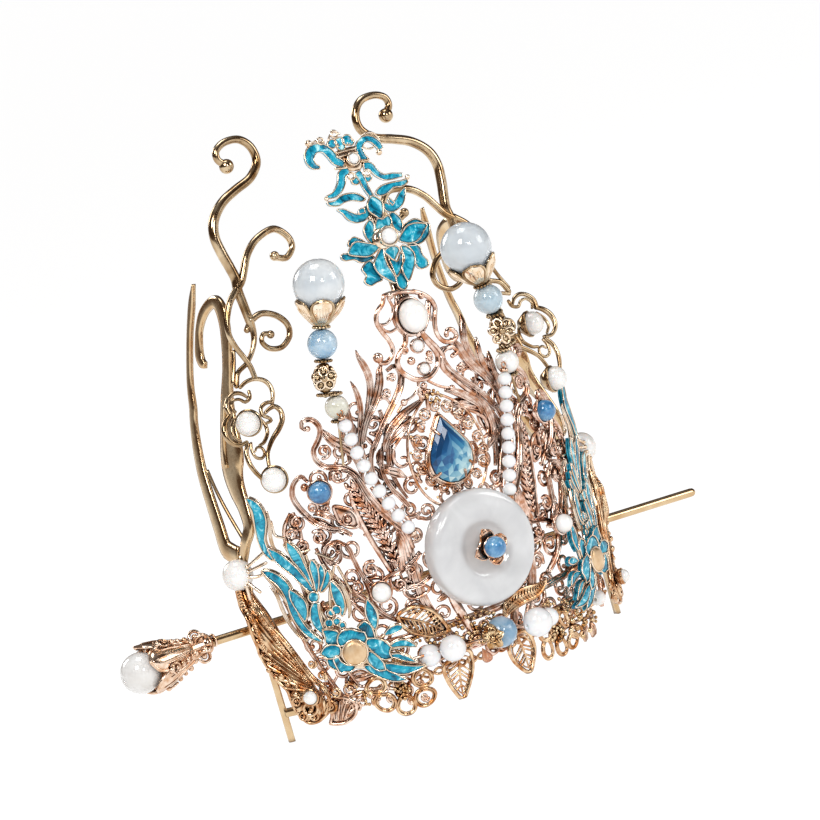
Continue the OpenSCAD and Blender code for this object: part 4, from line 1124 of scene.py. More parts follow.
t_cell([(322.5, 630.5), (323.3, 630), (330, 629.4), (337.5, 631.3), (339.7, 636), (342.2, 643.2), (334.4, 645.8), (326.3, 643.8), (324.8, 637)], 0.3)
t_cell([(357.6, 627.5), (363.8, 621.2), (364.7, 621.2), (370.3, 624.8), (373.5, 631.5), (374.6, 638.6), (367.6, 638.8), (363.4, 632.4)], 0.3)
t_cell([(337.4, 641.5), (338, 635.5), (341.2, 631.6), (344.2, 629.8), (345.1, 629.9), (351, 629.2), (357.5, 630.8), (363.8, 631.9), (364.7, 632.7), (366.6, 637.5), (365, 643.4), (357.5, 643.8), (351, 642.8), (345, 645.2), (339.8, 646)], 0.8)
t_cell([(366.2, 644.2), (367.4, 639), (374.4, 638.1), (383.3, 640.2), (390.4, 646.2), (391, 647.3), (389.6, 652.6), (392, 657.5), (391.1, 658.5), (383.5, 659.3), (377.4, 655.6), (371.6, 650.8)], 0.9)
t_cell([(366.9, 651.8), (371.9, 651.8), (378, 656.8), (383.2, 662), (385.5, 668.7), (384.8, 669.8), (378.4, 670.2), (371.6, 665.8), (367.2, 660)], 0.6, 2)
t_cell([(333.6, 659.6), (337.4, 655.8), (341.3, 661.2), (347.8, 665), (355.4, 665.8), (351.6, 671.3), (345.6, 671.7), (340.8, 672.6), (337.6, 668.6)], 0.9)
t_cell([(320.6, 653.8), (321.1, 652.6), (324.8, 647), (332, 644.6), (338.6, 646), (340.8, 649.4), (339.8, 655.2), (334.4, 658), (327.8, 658.4), (321.7, 655.2)], 0.9)
t_cell([(327.4, 659.2), (334, 658.8), (336.4, 664.6), (340.4, 671), (339.5, 671.9), (334, 669.2), (328.5, 665)], 0.3)
t_plume([(383, 665, 1.4), (391, 667.3, 4.2), (400, 669.4, 4.8), (409, 669.3, 3.9), (417, 668, 2.3), (426, 665.5, .5)], 0.3)
t_plume([(364.5, 666.5, 1.2), (372, 668.8, 4.4), (380, 671.6, 5.2), (390, 675.8, 4.8), (398, 678.2, 3.1), (406.5, 679.6, .5)], 0.0)
t_plume([(389.5, 647, 1), (397, 644, 3), (404, 643, 3.5), (410.5, 644.4, 2.5), (416.5, 646.2, .5)], 0.3)
t_plume([(390.5, 655.4, 1), (398, 656, 2.6), (406, 658.4, 2.6), (412.5, 660.4, 1.4), (417.5, 662, .5)], 0.4, 2)
t_plume([(402.4, 626.4, .8), (399.5, 627.3, 2.9), (394.5, 629.2, 3.9), (389.6, 631.9, 3.1), (385, 634.8, .9)], 0.3, 2)
t_plume([(367, 599.5, .5), (369.2, 607, 4), (371.6, 614.5, 5.5), (373.8, 622, 4), (375.2, 629, 1)], 0.2)
for pts in ([(385.5, 634.6, 1.1), (381.5, 637.5, 1.2), (377.5, 641, 1.2)], [(375, 627, 1.1), (376, 632, 1.2), (377, 639, 1.2)]):
    px_tube(T, S_LOTUS, pts, lift=0.0, mat=1, k=7)
LC = S_LOTUS[0](355, 652.4, 0.9)
LN = S_LOTUS[1](LC)
lathe(T, LC, LN, [(0, -2.0), (3.3, -2.0), (3.35, 0.35), (3.1, 0.75), (2.3, 1.0), (1.2, 1.15), (0, 1.2)], 32, 3)
torus(T, LC + LN * 0.3, LN, 3.45, 0.27, 32, 8, 1)
lb = outline_px(S_LOTUS, [(334, 640), (346, 634), (358, 634), (370, 640), (380, 648), (382, 660), (370, 668), (352, 668), (338, 665), (330, 655)], -1.3, 0.9)
plate(T, lb, LN, 0.5, 1)
for p, q in (((380, 662), (416, 668)), ((366, 668), (398, 677)), ((386, 650), (408, 645)), ((386, 655), (410, 659))):
    tube(T, [S_LOTUS[0](*p, -0.5), S_LOTUS[0](*q, -0.5)], 0.5, mat=1)
tube(T, [LC - LN * 1.6, LC - LN * 4.2], 1.2, mat=1)
both(T, "side_lotus", [BLUE, RIM, BLUE_L, TAN, RIM], "blue_enamel", ["lotus"], right=[BLUE, RIM, BLUE_L, TAN, BLUE])

# ---------------------------------------------------------------- fluted side plates
B = Mesh()
edge = [(252, 592), (244, 586), (237.5, 587), (239.5, 600), (243.5, 614), (247.5, 627), (252, 639), (258, 650), (264.5, 661), (272, 672.5), (281, 683), (288, 690), (291.5, 699), (296, 709), (302.5, 717), (310, 722.4), (318.5, 721), (325, 716), (331, 709)]
e3 = spline([S_BUTTER[0](x, y, 0.2) for x, y in edge], 0.35)
o3 = S_BUTTER[0](321.8, 691.4, 0.6)
upper = spline([S_BUTTER[0](x, y, 0.2) for x, y in [(327, 712), (331, 700), (325, 686), (312.8, 675), (298, 655.6), (286.8, 641), (272, 624.7), (259, 608.5), (249.4, 593.8)]], 0.6)
ncol = len(e3)
nrow = 14
front, rear = [], []
for i, p in enumerate(e3):
    for j in range(nrow + 1):
        v = 0.1 + 0.9 * j / nrow
        q = o3 + (p - o3) * v
        # keep the rays under the upper edge by bowing them
        ridge = abs(math.sin(math.pi * i / ncol * 15))
        h = 0.25 + (0.75 * ridge - 0.2) * min(1, 1.6 * v) + 0.9 * math.sin(math.pi * v) * 0.6
        front.append(q + bn * h)
        rear.append(q + bn * (h - 0.9 - 0.2 * (1 - v)))
verts = front + rear
faces = []
R1 = nrow + 1
off = len(front)
for i in range(ncol - 1):
    for j in range(nrow):
        a, b2, c2, d2 = i * R1 + j, i * R1 + j + 1, (i + 1) * R1 + j + 1, (i + 1) * R1 + j
        faces.append((a, b2, c2, d2))
        faces.append((off + a, off + d2, off + c2, off + b2))
for i in range(ncol - 1):
    a, d2 = i * R1 + nrow, (i + 1) * R1 + nrow
    faces.append((a, off + a, off + d2, d2))
    a, d2 = i * R1, (i + 1) * R1
    faces.append((a, d2, off + d2, off + a))
for j in range(nrow):
    a, b2 = j, j + 1
    faces.append((a, off + a, off + b2, b2))
    a, b2 = (ncol - 1) * R1 + j, (ncol - 1) * R1 + j + 1
    faces.append((a, b2, off + b2, off + a))
B.add(verts, faces, 0)
tube(B, [list(p + bn * 0.55) + [0.5] for p in e3], None, k=7, mat=0, step=1e9)
tube(B, [list(p + bn * 0.9) + [0.62] for p in upper], None, k=8, mat=0)
tube(B, [list(p + bn * 1.5 - np.array([0, 0, 0.9])) + [0.35] for p in upper[4:-4]], None, k=7, mat=0)
for x, y, r in ((269, 670, 4), (276, 678, 4), (282, 676, 5), (288, 684, 4), (296, 694, 4), (302, 700, 3.6)):
    ball(B, S_BUTTER[0](x, y, 1.2), r * MMPX * 0.8, 0, seg=9, rings=7)
rope = spline([S_BUTTER[0](x, y, 0.6) for x, y in [(239.5, 589), (244, 603), (250, 618), (257, 634), (264, 650)]], 0.9)
for i, p in enumerate(rope):
    r_ = 1.15 - 0.5 * i / len(rope)
    ball(B, p + bn * 0.5, r_, 0, 10, 7, (1, 0.62, 0.75), (unit(ba + np.array([0, 0, 0.9])), unit(ba - np.array([0, 0, 1.1])), bn))
rope = spline([S_BUTTER[0](x, y, 0.6) for x, y in [(250, 596), (257, 609), (268, 625), (279, 640), (290, 655)]], 1.0)
for i, p in enumerate(rope):
    ball(B, p + bn * 0.7, 0.72, 0, 9, 7)
for x, y, r in ((262, 655, 3), (271, 663, 3.4), (280, 668, 3), (290, 680, 3.4), (297, 686, 3), (308, 700, 3)):
    ball(B, S_BUTTER[0](x, y, 1.4), r * MMPX * 0.7, 0, seg=9, rings=7)
px_curl(B, S_BUTTER, 303, 716, 5.5, 1.3, 0.45, 1.3, 60, -1)
px_curl(B, S_BUTTER, 315, 716, 5, 1.3, 0.42, 1.3, 140, 1)
px_curl(B, S_BUTTER, 322, 676, 5, 1.0, 0.42, 1.3, 300, 1)
px_curl(B, S_BUTTER, 312, 664, 4.5, 1.0, 0.4, 1.3, 10, -1)
bezel(B, bc + ba * 5.6 + np.array([0, 0, -11.6]) + bn * 4.2, bn, 1.9, -0.2, 0.4, 0, 0.3)
px_curl(B, S_BUTTER, 309.6, 708, 10.5, 1.6, 0.6, 1.5, 120, -1)
px_curl(B, S_BUTTER, 297, 702, 5.5, 1.5, 0.4, 1.3, 20, 1)
px_curl(B, S_BUTTER, 331, 706, 6.5, 1.5, 0.45, 1.4, 250, 1)
px_curl(B, S_BUTTER, 336, 692, 5.5, 1.3, 0.42, 1.3, 200, 1)


def past_pin(x, y, z):
    """The plate bows forward where the pin passes behind it."""
    k = max(0.0, min(1.0, (7.5 - abs(z - 33.1)) / 4.5))
    k *= k * (3 - 2 * k)
    k *= max(0.0, min(1.0, (y + 14.5) / 4.0)) if x < -52 else 0.0
    return (x - 0.25 * k, y - 2.3 * k, z)


B.v = [past_pin(*q) for q in B.v]
both(B, "side_plate", [COPPER], "rose_gold", ["butterfly"])

# ---------------------------------------------------------------- wheat-ear relief
G = Mesh()
S_EAR = cyl(71.0)
ear = spline([S_EAR[0](x, y, 0) for x, y in [(356, 489), (366.5, 507), (379, 527), (390, 548), (399.5, 569)]], 0.35)
strap(G, [list(p) + [1.2] for p in ear[::4]], S_EAR[1], "ridge", 0.9, 0, base=-0.7)
m = 14
for i in range(m):
    j = int((len(ear) - 1) * (0.02 + 0.9 * i / (m - 1)))
    p = ear[j]
    d = unit(ear[min(j + 3, len(ear) - 1)] - ear[max(j - 3, 0)])
    n = S_EAR[1](p)
    s = unit(np.cross(d, n))
    wid = 1.0 if 1 < i < m - 2 else 0.8
    for sg in (-1, 1):
        dirn = unit(-d * 0.66 + s * sg * 0.76)
        grain(G, p + n * 0.1, dirn, 3.7 * wid, n, 0.66 * wid, 0.95, 0)
        dir2 = unit(-d * 0.9 + s * sg * 0.35)
        grain(G, p + n * 0.55 + s * sg * 0.2, dir2, 2.5 * wid, n, 0.5 * wid, 0.75, 0)
    ball(G, p + n * 1.0, 0.42, 0, seg=8, rings=6)
tipd = unit(ear[0] - ear[4])
grain(G, ear[0] + S_EAR[1](ear[0]) * .2, tipd, 3.4, S_EAR[1](ear[0]), 1.0, 1.0, 0)
both(G, "wheat_ear", [ROSE_D], "rose_gold", ["braid"])

# ---------------------------------------------------------------- leaves and flowers of the base
S_LEAF = cyl(71.2)
for name, node, outline, rib, veins in (
        ("leaf_low_left", "leaf_low_L", [(448, 662), (443.5, 667), (447, 679), (455, 691.5), (463, 698.6), (468.5, 687), (472.5, 668), (470.7, 652), (462, 651)], [(459, 655), (460, 675), (463, 695)], 5),
        ("leaf_low_right", "leaf_low_R", [(509, 648), (512, 658), (520, 667), (529.7, 671.8), (533.5, 660), (534, 646), (529, 634), (521, 631), (513, 638)], [(518, 637), (524, 652), (529, 668)], 4),
        ("leaf_mid_left", "leaf_mid_L", [(398, 616), (406, 609.5), (416, 606.5), (427, 608.5), (437, 614.5), (448, 629), (440, 634), (430, 636), (412, 632), (403, 626)], [(401, 618), (420, 621), (443, 629)], 9)):
    M = Mesh()
    open_leaf(M, S_LEAF, outline, rib, veins, 0.6, 0.3 if veins < 8 else 0.22, 0.6)
    M.make(name, [COPPER], "crown", "rose_gold", [node])
M = Mesh()
strap(M, px_rows(S_LEAF, [(503, 620, 1), (509, 606, 7), (522, 596, 8.5), (536, 590, 7), (546, 580, 1)], lift=0.3), S_LEAF[1], "ridge", 1.0)
rows = spline(px_rows(S_LEAF, [(503, 620, 1), (509, 606, 7), (522, 596, 8.5), (536, 590, 7), (546, 580, 1)], lift=1.1), 1.1)
tt = tangents(rows[:, :3])
for i in range(1, len(rows) - 1):
    n = S_LEAF[1](rows[i][:3])
    s = unit(np.cross(tt[i], n))
    for sg in (-1, 1):
        tube(M, [rows[i][:3] + n * 0.1, rows[i][:3] + unit(s * sg + tt[i] * 0.6) * rows[i][3] * 0.8 - n * 0.2], 0.17, k=6)
M.make("arc_leaf", [COPPER], "crown", "rose_gold", ["arc_leaf_R"])


def wire_flower(M, surf, loops, centre, cr_px, seed, mat=0, cmat=1):
    for x, y, rx, ry, ang in loops:
        c = surf[0](x, y, 0.6)
        n = surf[1](c)
        a, b, _ = basis(n)
        w0 = math.radians(ang)
        u = a * math.cos(w0) + b * math.sin(w0)
        v = np.cross(n, u)
        ws = np.linspace(0, 2 * math.pi, 18, endpoint=False)
        pts = [c + u * rx * MMPX * math.cos(w) * 1.08 + v * ry * MMPX * math.sin(w) * (1 - 0.16 * math.cos(w)) for w in ws]
        tube(M, pts, 0.5, k=8, mat=mat, closed=True, step=1e9)
        tube(M, [c + (q - c) * 0.76 + n * 0.28 for q in pts], 0.24, k=6, mat=mat, closed=True, step=1e9)
    granules(M, surf, centre, cr_px, 16, 0.55, 0.9, cmat, seed)
    p = surf[0](*centre, 0.2)
    lathe(M, p, surf[1](p), [(0, -1.0), (cr_px * MMPX, -1.0), (cr_px * MMPX, 0.2), (0, 0.5)], 18, mat)


FL = Mesh()
wire_flower(FL, S_LEAF, [(422.5, 677.5, 9.5, 9, -30), (425.5, 696.5, 10, 8.6, 10), (406.4, 704.5, 9.2, 9.2, 80), (385, 702, 10, 8.6, 150), (375.5, 686, 9.5, 8, 190), (389, 672, 9, 7.5, -60)], (402.6, 690.5), 8.5, 5)
FL.make("wire_flower_left", [COPPER, YELLOW], "crown", "rose_gold", ["flower_L"])
FR = Mesh()
wire_flower(FR, S_LEAF, [(547.5, 649, 9.4, 6.6, 80), (561.3, 646, 8.6, 7, 95), (573, 640, 8.4, 6.2, 30), (576, 631, 9, 6, -10), (563, 619, 8, 6, -70), (546, 634, 8, 6, 0)], (557.5, 634), 9.5, 6)
FR.make("wire_flower_right", [COPPER, YELLOW], "crown", "rose_gold", ["flower_R"])

# ---------------------------------------------------------------- stems, beads and strings
# rows, mirrored to the left side: foot of the straight part, tip bead, pale bead
STEMS = (("left", "L", [-29.8, -33.9, 86], [-23.4, -37.5, 119], [-26.9, -34.6, 86.1]), ("right", "R", [-29.6, -34.1, 82.8], [-22.8, -37.5, 115.7], [-27.3, -34.2, 82.2]))
ROOT = np.array([-28.6, -32.5, 71.0])


def petal_ring(M, c, ax, da, db, prof, n, spread, w0=0.0, mat=0, rim=0.34, thick=0.35, veins=(-0.4, 0, 0.4), bulge=0.3, vein_r=0.2, rim_mat=None):
    """Petals round an axis. prof: rows (radius, height) from the base of a petal to its tip."""
    ni, nj = 12, 8
    for q in range(n):
        lon0 = w0 + 2 * math.pi * q / n
        front, rear = [], []
        for i in range(ni + 1):
            v = i / ni
            r_, h_ = np.interp(v * (len(prof) - 1), range(len(prof)), [p[0] for p in prof]), np.interp(v * (len(prof) - 1), range(len(prof)), [p[1] for p in prof])
            half = spread * (1 if v < 0.5 else max(0.03, math.sqrt(max(0.0, 1 - ((v - 0.5) / 0.5) ** 2)))) * (0.9 + 0.1 * min(1, 2 * v))
            for j in range(nj + 1):
                u = 2 * j / nj - 1
                d_ = da * math.cos(lon0 + half * u) + db * math.sin(lon0 + half * u)
                rr = r_ + bulge * math.cos(math.pi / 2 * u) * min(1, 2 * v)
                front.append(c + ax * h_ + d_ * rr)
                rear.append(c + ax * h_ + d_ * (rr - thick))
        k = nj + 1
        off = len(front)
        faces = []
        for i in range(ni):
            for j in range(nj):
                a_, b_, c_, d_ = i * k + j, i * k + j + 1, (i + 1) * k + j + 1, (i + 1) * k + j
                faces += [(a_, b_, c_, d_), (off + a_, off + d_, off + c_, off + b_)]
        for i in range(ni):
            a_, d_ = i * k, (i + 1) * k
            faces.append((a_, d_, off + d_, off + a_))
            a_, d_ = i * k + nj, (i + 1) * k + nj
            faces.append((a_, off + a_, off + d_, d_))
        for j in range(nj):
            faces.append((j, off + j, off + j + 1, j + 1))
            t_ = ni * k + j
            faces.append((t_, t_ + 1, off + t_ + 1, off + t_))
        M.add(front + rear, faces, mat)
        edge_ = [front[i * k] for i in range(ni + 1)] + [front[i * k + nj] for i in range(ni, -1, -1)]
        tube(M, edge_, rim, k=7, mat=mat if rim_mat is None else rim_mat, step=0.7)
        for u in veins:
            j = int(round((u + 1) / 2 * nj))
            top_ = ni - (1 if u == 0 else 3)
            tube(M, [front[i * k + j] for i in range(1, top_)], vein_r, k=6, mat=mat, step=0.8)


def ring_of_balls(M, c, axis, R, r, n, mat=0, squash=1.0):
    a, b, ax = basis(axis)
    for i in range(n):
        w = 2 * math.pi * i / n
        ball(M, np.array(c) + (a * math.cos(w) + b * math.sin(w)) * R, r, mat, seg=8, rings=6)



def build_stem(side, letter, foot, top, pale):
    foot, top, pale = np.array(foot), np.array(top), np.array(pale)
    length = np.linalg.norm(top - foot)
    ax = (top - foot) / length
    pv = unit(pale - ROOT)

    def at(h):
        return foot + ax * h

    def give(m_):
        return m_.mirror() if side == "right" else m_

    # a: towards the camera's side for the left stem
    view = np.array([-0.466, -0.869, 0.122]) if side == "left" else np.array([0.466, -0.869, 0.122])
    a_ = unit(view - ax * (view @ ax))
    b_ = np.cross(ax, a_)
    W = Mesh()
    tube(W, [at(4), at(12), at(22), at(length - 8)], 0.55, k=10, step=3)
    tube(W, [ROOT + pv * -0.5, ROOT + pv * 6, pale - pv * 3.5, pale + pv * 3.4, pale + pv * 4.2 + (at(4.4) - pale - pv * 4.2) * 0.3, at(4.6)], 0.38, k=8, step=0.8)
    for p_, d_ in ((pale + pv * 3.75, pv), (pale - pv * 3.75, pv)):
        lathe(W, p_, d_, [(0, -.4), (1.3, -.4), (1.7, 0), (1.3, .4), (0, .4)], 20)
        ring_of_balls(W, p_, d_, 1.7, 0.4, 12)
    # beaded rings round the blue bead and on the flower
    for h in (4.3, 13.45, 22.5):
        lathe(W, at(h), ax, [(0, -.4), (1.7, -.4), (2.1, 0), (1.7, .4), (0, .4)], 22)
        ring_of_balls(W, at(h), ax, 2.15, 0.42, 14)
    # flower bead: folded petals all round
    lathe(W, at(8.9), ax, smooth_prof([(0, -3.9), (1.2, -3.8), (1.8, -2.4), (2.1, 0), (1.8, 2.4), (1.2, 3.8), (0, 3.9)], 0.5), 22)
    for q in range(3 if side == "left" else 2):
        w = 2 * math.pi * q / 3 + (0.0 if side == "left" else 2.1)
        out = a_ * math.cos(w) + b_ * math.sin(w)
        c = at(8.9) + out * 2.75
        sx = np.cross(ax, out)
        for i in range(5):
            ww = 2 * math.pi * i / 5 + 0.4 + 0.5 * q
            d = sx * math.cos(ww) + ax * math.sin(ww)
            e_ = np.cross(out, d)
            lp = [c + d * (1.95 + 1.25 * math.cos(t_)) + e_ * 1.12 * math.sin(t_) - out * (0.1 + 0.65 * (1 + math.cos(t_))) for t_ in np.linspace(0, 2 * math.pi, 12, endpoint=False)]
            tube(W, lp, 0.38, k=7, mat=1, closed=True, step=1e9)
            ball(W, c + d * 1.9 - out * 0.85, 0.95, 0, 10, 7, (0.95, 0.7, 0.4), (d, e_, out))
        ball(W, c + out * 0.15, 0.85, 0)
        ball(W, c + out * 0.75, 0.42, 0, 8, 6)
    if side == "right":
        # this flower lies open towards the front
        fl = on_plane(501.7, 330.8, np.array([0.0, 1.0, 0.0]), -38.4) * np.array([-1, 1, 1])
        fn = unit(np.array([0.25, -1.0, 0.1]))
        fa, fb, _ = basis(fn)
        for i in range(6):
            w = math.pi / 3 * i + 0.3
            d = fa * math.cos(w) + fb * math.sin(w)
            e_ = np.cross(fn, d)
            lp = [fl + d * (2.2 + 1.4 * math.cos(t_)) + e_ * 1.08 * math.sin(t_) - fn * 0.2 * (1 + math.cos(t_)) for t_ in np.linspace(0, 2 * math.pi, 12, endpoint=False)]
            tube(W, lp, 0.38, k=7, mat=1, closed=True, step=1e9)
            ball(W, fl + d * 2.1 - fn * 0.5, 0.9, 0, 10, 7, (1.1, 0.75, 0.35), (d, e_, fn))
        ball(W, fl + fn * 0.2, 1.0, 0)
        for i in range(7):
            w = 2 * math.pi * i / 7
            ball(W, fl + (fa * math.cos(w) + fb * math.sin(w)) * 1.2 + fn * 0.3, 0.42, 0, 8, 6)
        tube(W, [fl - fn * 0.3, at(8.9)], 0.8, k=8)
    # lotus cup that holds the tip bead
    # cup petals in the pale cup gold as a painted highlight, their rims in the darker stem gold
    petal_ring(W, top, ax, a_, b_, [(1.9, -10.7), (3.1, -9.6), (4.4, -8.1), (5.5, -6.5), (6.2, -5.0), (6.6, -3.6)], 5, math.radians(34), 0.15, 1, 0.34, 0.35, (-0.5, -0.25, 0, 0.25, 0.5), 0.5, 0.15, 0)
    lathe(W, top, ax, smooth_prof([(0, -11.3), (1.8, -11.2), (2.3, -10.6), (3.3, -9.3), (4.3, -7.9), (4.0, -7.7), (2.9, -8.4), (0, -8.6)], 0.5), 28)
    give(W).make("stem_" + side, [BRONZE, CUP_GOLD_HIGHLIGHT], "crown", "rose_gold", ["stem_" + letter])
    Q_ = Mesh()
    drilled(Q_, top, 7.0, ax, 0.8, seg=44, rings=28, squash=1.0, seed=4, wobble=0.004)
    give(Q_).make("tip_bead_" + side, [CLEAR_JADE], "crown", "milk_jade", ["tip_bead_" + letter])
    Q_ = Mesh()
    drilled(Q_, at(18), 4.08, ax, 0.7, seg=32, rings=18, seed=5)
    give(Q_).make("blue_bead_" + side, [CHALC if side == "left" else CHALC_P], "crown", "blue_chalcedony", ["blue_bead_" + letter])
    Q_ = Mesh()
    drilled(Q_, pale, 3.28, pv, 0.7, seg=30, rings=16, seed=6)
    give(Q_).make("pale_bead_" + side, [CREAM if side == "left" else PEARL], "crown", "milk_jade" if side == "left" else "pearl", ["pale_bead_" + letter])


for row_ in STEMS:
    build_stem(*row_)

STRINGS = (([-27.5, -37.6, 81], [-18.8, -39.6, 49.8], -1.8, "left", "L"), ([23.2, -37.6, 78.5], [14.2, -39.6, 49.8], 0.3, "right", "R"))


def string_at(t, top, low, bow):
    return np.array(top) + (np.array(low) - np.array(top)) * t + np.array([bow * math.sin(math.pi * t), 0, 0])


for top_, low_, bow_, side_, node_ in STRINGS:
    cen = [string_at(i / 8, top_, low_, bow_) for i in range(9)]
    SB = Mesh()
    for i, c in enumerate(cen):
        d = unit(cen[min(i + 1, 8)] - cen[max(i - 1, 0)])
        drilled(SB, c, 1.92, d, 0.35, seg=22, rings=12, squash=0.95, seed=20 + i, wobble=0.012)
    SB.make("bead_string_" + side_, [SHELL], "crown", "white_shell", ["string_" + node_])
    SW = Mesh()
    tube(SW, [cen[0] + (cen[0] - cen[1]) * 0.9] + cen + [cen[8] + (cen[8] - cen[7]) * 0.75], 0.17, k=6, step=1.5)
    for c, d in ((cen[0] + unit(cen[0] - cen[1]) * 2.3, unit(cen[0] - cen[1])), (cen[8] + unit(cen[8] - cen[7]) * 2.2, unit(cen[8] - cen[7]))):
        lathe(SW, c, d, [(0, -.5), (1.0, -.5), (1.25, 0), (0.9, .6), (0, .7)], 16)
        torus(SW, c + d * 1.5, np.cross(d, [0, 0, 1.0]), 0.75, 0.22, 14, 7)
    SW.make("string_fittings_" + side_, [ROSE], "crown", "rose_gold")

# ---------------------------------------------------------------- jade disc with its flower and bead
DC = np.array([0, -40.4, 38.0])
FWD = np.array([0, -1.0, 0])
half_prof = [(2.0, 2.7), (4.2, 2.75), (6.0, 3.05), (7.4, 3.7), (8.7, 3.98), (10.4, 4.0), (12.4, 3.9), (14.1, 3.65), (15.1, 3.2), (15.7, 2.4), (15.95, 1.3), (16.0, 0.0)]
rows = smooth_prof(half_prof, 0.45)
back_rows = [(r, -h) for r, h in rows[::-1]]
loop = rows + back_rows[1:] + [(2.0, 0.0), rows[0]]
D = Mesh()
lathe(D, DC, FWD, loop, 96, 0, wobble=0.0015, seed=3)
D.make("jade_disc_piece", [JADE], "crown", "milk_jade", ["jade_disc"])

DF = Mesh()
bead_c = DC + FWD * 8.5
lathe(DF, DC, FWD, [(0, -3.6), (1.9, -3.6), (1.9, 4.3), (3.0, 4.5), (3.3, 5.0), (2.6, 5.3), (0, 5.3)], 24)
for q in range(4):
    w0 = math.pi / 2 * q + 0.2
    a, b, n = basis(FWD)
    ni, nj = 9, 8
    front, rear = [], []
    for i in range(ni + 1):
        v = i / ni
        r = 1.2 + 3.9 * v
        h = 4.7 + 1.9 * math.sin(math.pi * min(1, v * 0.9)) ** 0.8 * v + 0.35 * v
        half = 0.72 * (math.sin(math.pi * (0.28 + 0.7 * v)) ** 0.7 if v < 1 else 0.12)
        for j in range(nj + 1):
            u = 2 * j / nj - 1
            lon = w0 + half * u
            d = a * math.cos(lon) + b * math.sin(lon)
            hh = h + 0.35 * u * u - 0.15
            front.append(DC + d * r + n * (hh + 0.25))
            rear.append(DC + d * r + n * (hh - 0.2))
    k = nj + 1
    off = len(front)
    faces = []
    for i in range(ni):
        for j in range(nj):
            a_, b_, c_, d_ = i * k + j, i * k + j + 1, (i + 1) * k + j + 1, (i + 1) * k + j
            faces += [(a_, d_, c_, b_), (off + a_, off + b_, off + c_, off + d_)]
    for i in range(ni):
        for j, flip in ((0, True), (nj, False)):
            a_, d_ = i * k + j, (i + 1) * k + j
            f = (a_, d_, off + d_, off + a_)
            faces.append(tuple(reversed(f)) if flip else f)
    for j in range(nj):
        faces.append((j, j + 1, off + j + 1, off + j))
        t_ = ni * k + j
        faces.append((t_, off + t_, off + t_ + 1, t_ + 1))
    DF.add(front + rear, faces, 0)
    rim = [front[i * k] for i in range(ni + 1)] + [front[ni * k + nj // 2] + (a * math.cos(w0) + b * math.sin(w0)) * 0.25] + [front[i * k + nj] for i in range(ni, -1, -1)]
    tube(DF, rim, 0.27, k=7, step=0.7)
    for u in (-0.35, 0, 0.35):
        tube(DF, [front[1 * k + nj // 2], front[5 * k + nj // 2 + int(u * 5)] + n * 0.02, front[8 * k + nj // 2 + int(u * 7)]], 0.13, k=5, step=0.9)
torus(DF, bead_c - FWD * 1.1, FWD, 2.75, 0.3, 24, 7)
DF.make("disc_flower_piece", [ROSE], "crown", "rose_gold", ["disc_flower"])
DB = stud("disc_bead", bead_c, FWD, 2.93, BSTONE, "blue_stone", ["disc_bead"], seed=12, squash=0.99)
DB.make("disc_bead_piece", [BSTONE], "crown", "blue_stone", ["disc_bead"])

# ---------------------------------------------------------------- pear-cut gem in its filigree setting
GZ, GW, GH = 63.3, 13.0, 18.0


def pear(s, n=24, y=-38.9, shift=0.0, dz=0.0):
    pts = []
    w = GW / 2
    th0 = math.radians(34)
    tip = GH - w
    for i in range(n):
        t = (i + shift) / n
        # go round from the tip
        u = t * 4
        if u < 0.9:
            q = u / 0.9
            x, z = w * math.cos(th0) * q ** 0.93, tip + (w * math.sin(th0) - tip) * q
        elif u > 3.1:
            q = (4 - u) / 0.9
            x, z = -w * math.cos(th0) * q ** 0.93, tip + (w * math.sin(th0) - tip) * q
        else:
            a = th0 - (u - 0.9) / 2.2 * (math.pi + 2 * th0)
            x, z = w * math.cos(a), w * math.sin(a)
        pts.append(np.array([x * s, y, GZ + dz + (z - 1.2) * s + 1.2]))
    return pts


gm = Mesh()
N = 20
rings = [pear(0.55, N, -37.7), pear(0.97, N, -38.8), pear(1.0, N, -39.2), pear(0.84, N, -40.25, 0.5), pear(0.63, N, -40.85, 0.0), pear(0.4, N, -41.2, 0.5), pear(0.2, N, -41.35, 0.0)]
verts = [np.array([0, -37.6, GZ + 1.2])]
for r in rings:
    verts += r
verts.append(np.array([0, -41.4, GZ + 1.2]))
faces = [(0, 1 + (j + 1) % N, 1 + j) for j in range(N)]
for i in range(len(rings) - 1):
    a0_, b0_ = 1 + i * N, 1 + (i + 1) * N
    half_step = (i % 2 == 0 and i >= 2)
    for j in range(N):
        j2 = (j + 1) % N
        if i < 2:
            faces.append((a0_ + j, a0_ + j2, b0_ + j2, b0_ + j))
        elif i % 2 == 0:      # next ring lies half a step on
            faces.append((a0_ + j, a0_ + j2, b0_ + j))
            faces.append((a0_ + j2, b0_ + j2, b0_ + j))
        else:
            faces.append((a0_ + j, b0_ + j2, b0_ + j))
            faces.append((a0_ + j, a0_ + j2, b0_ + j2))
last = 1 + (len(rings) - 1) * N
faces += [(last + j, last + (j + 1) % N, len(verts) - 1) for j in range(N)]
gm.add(verts, faces, 0, False)
gm.make("gem_piece", [GEM], "crown", "blue_gem", ["gem"])

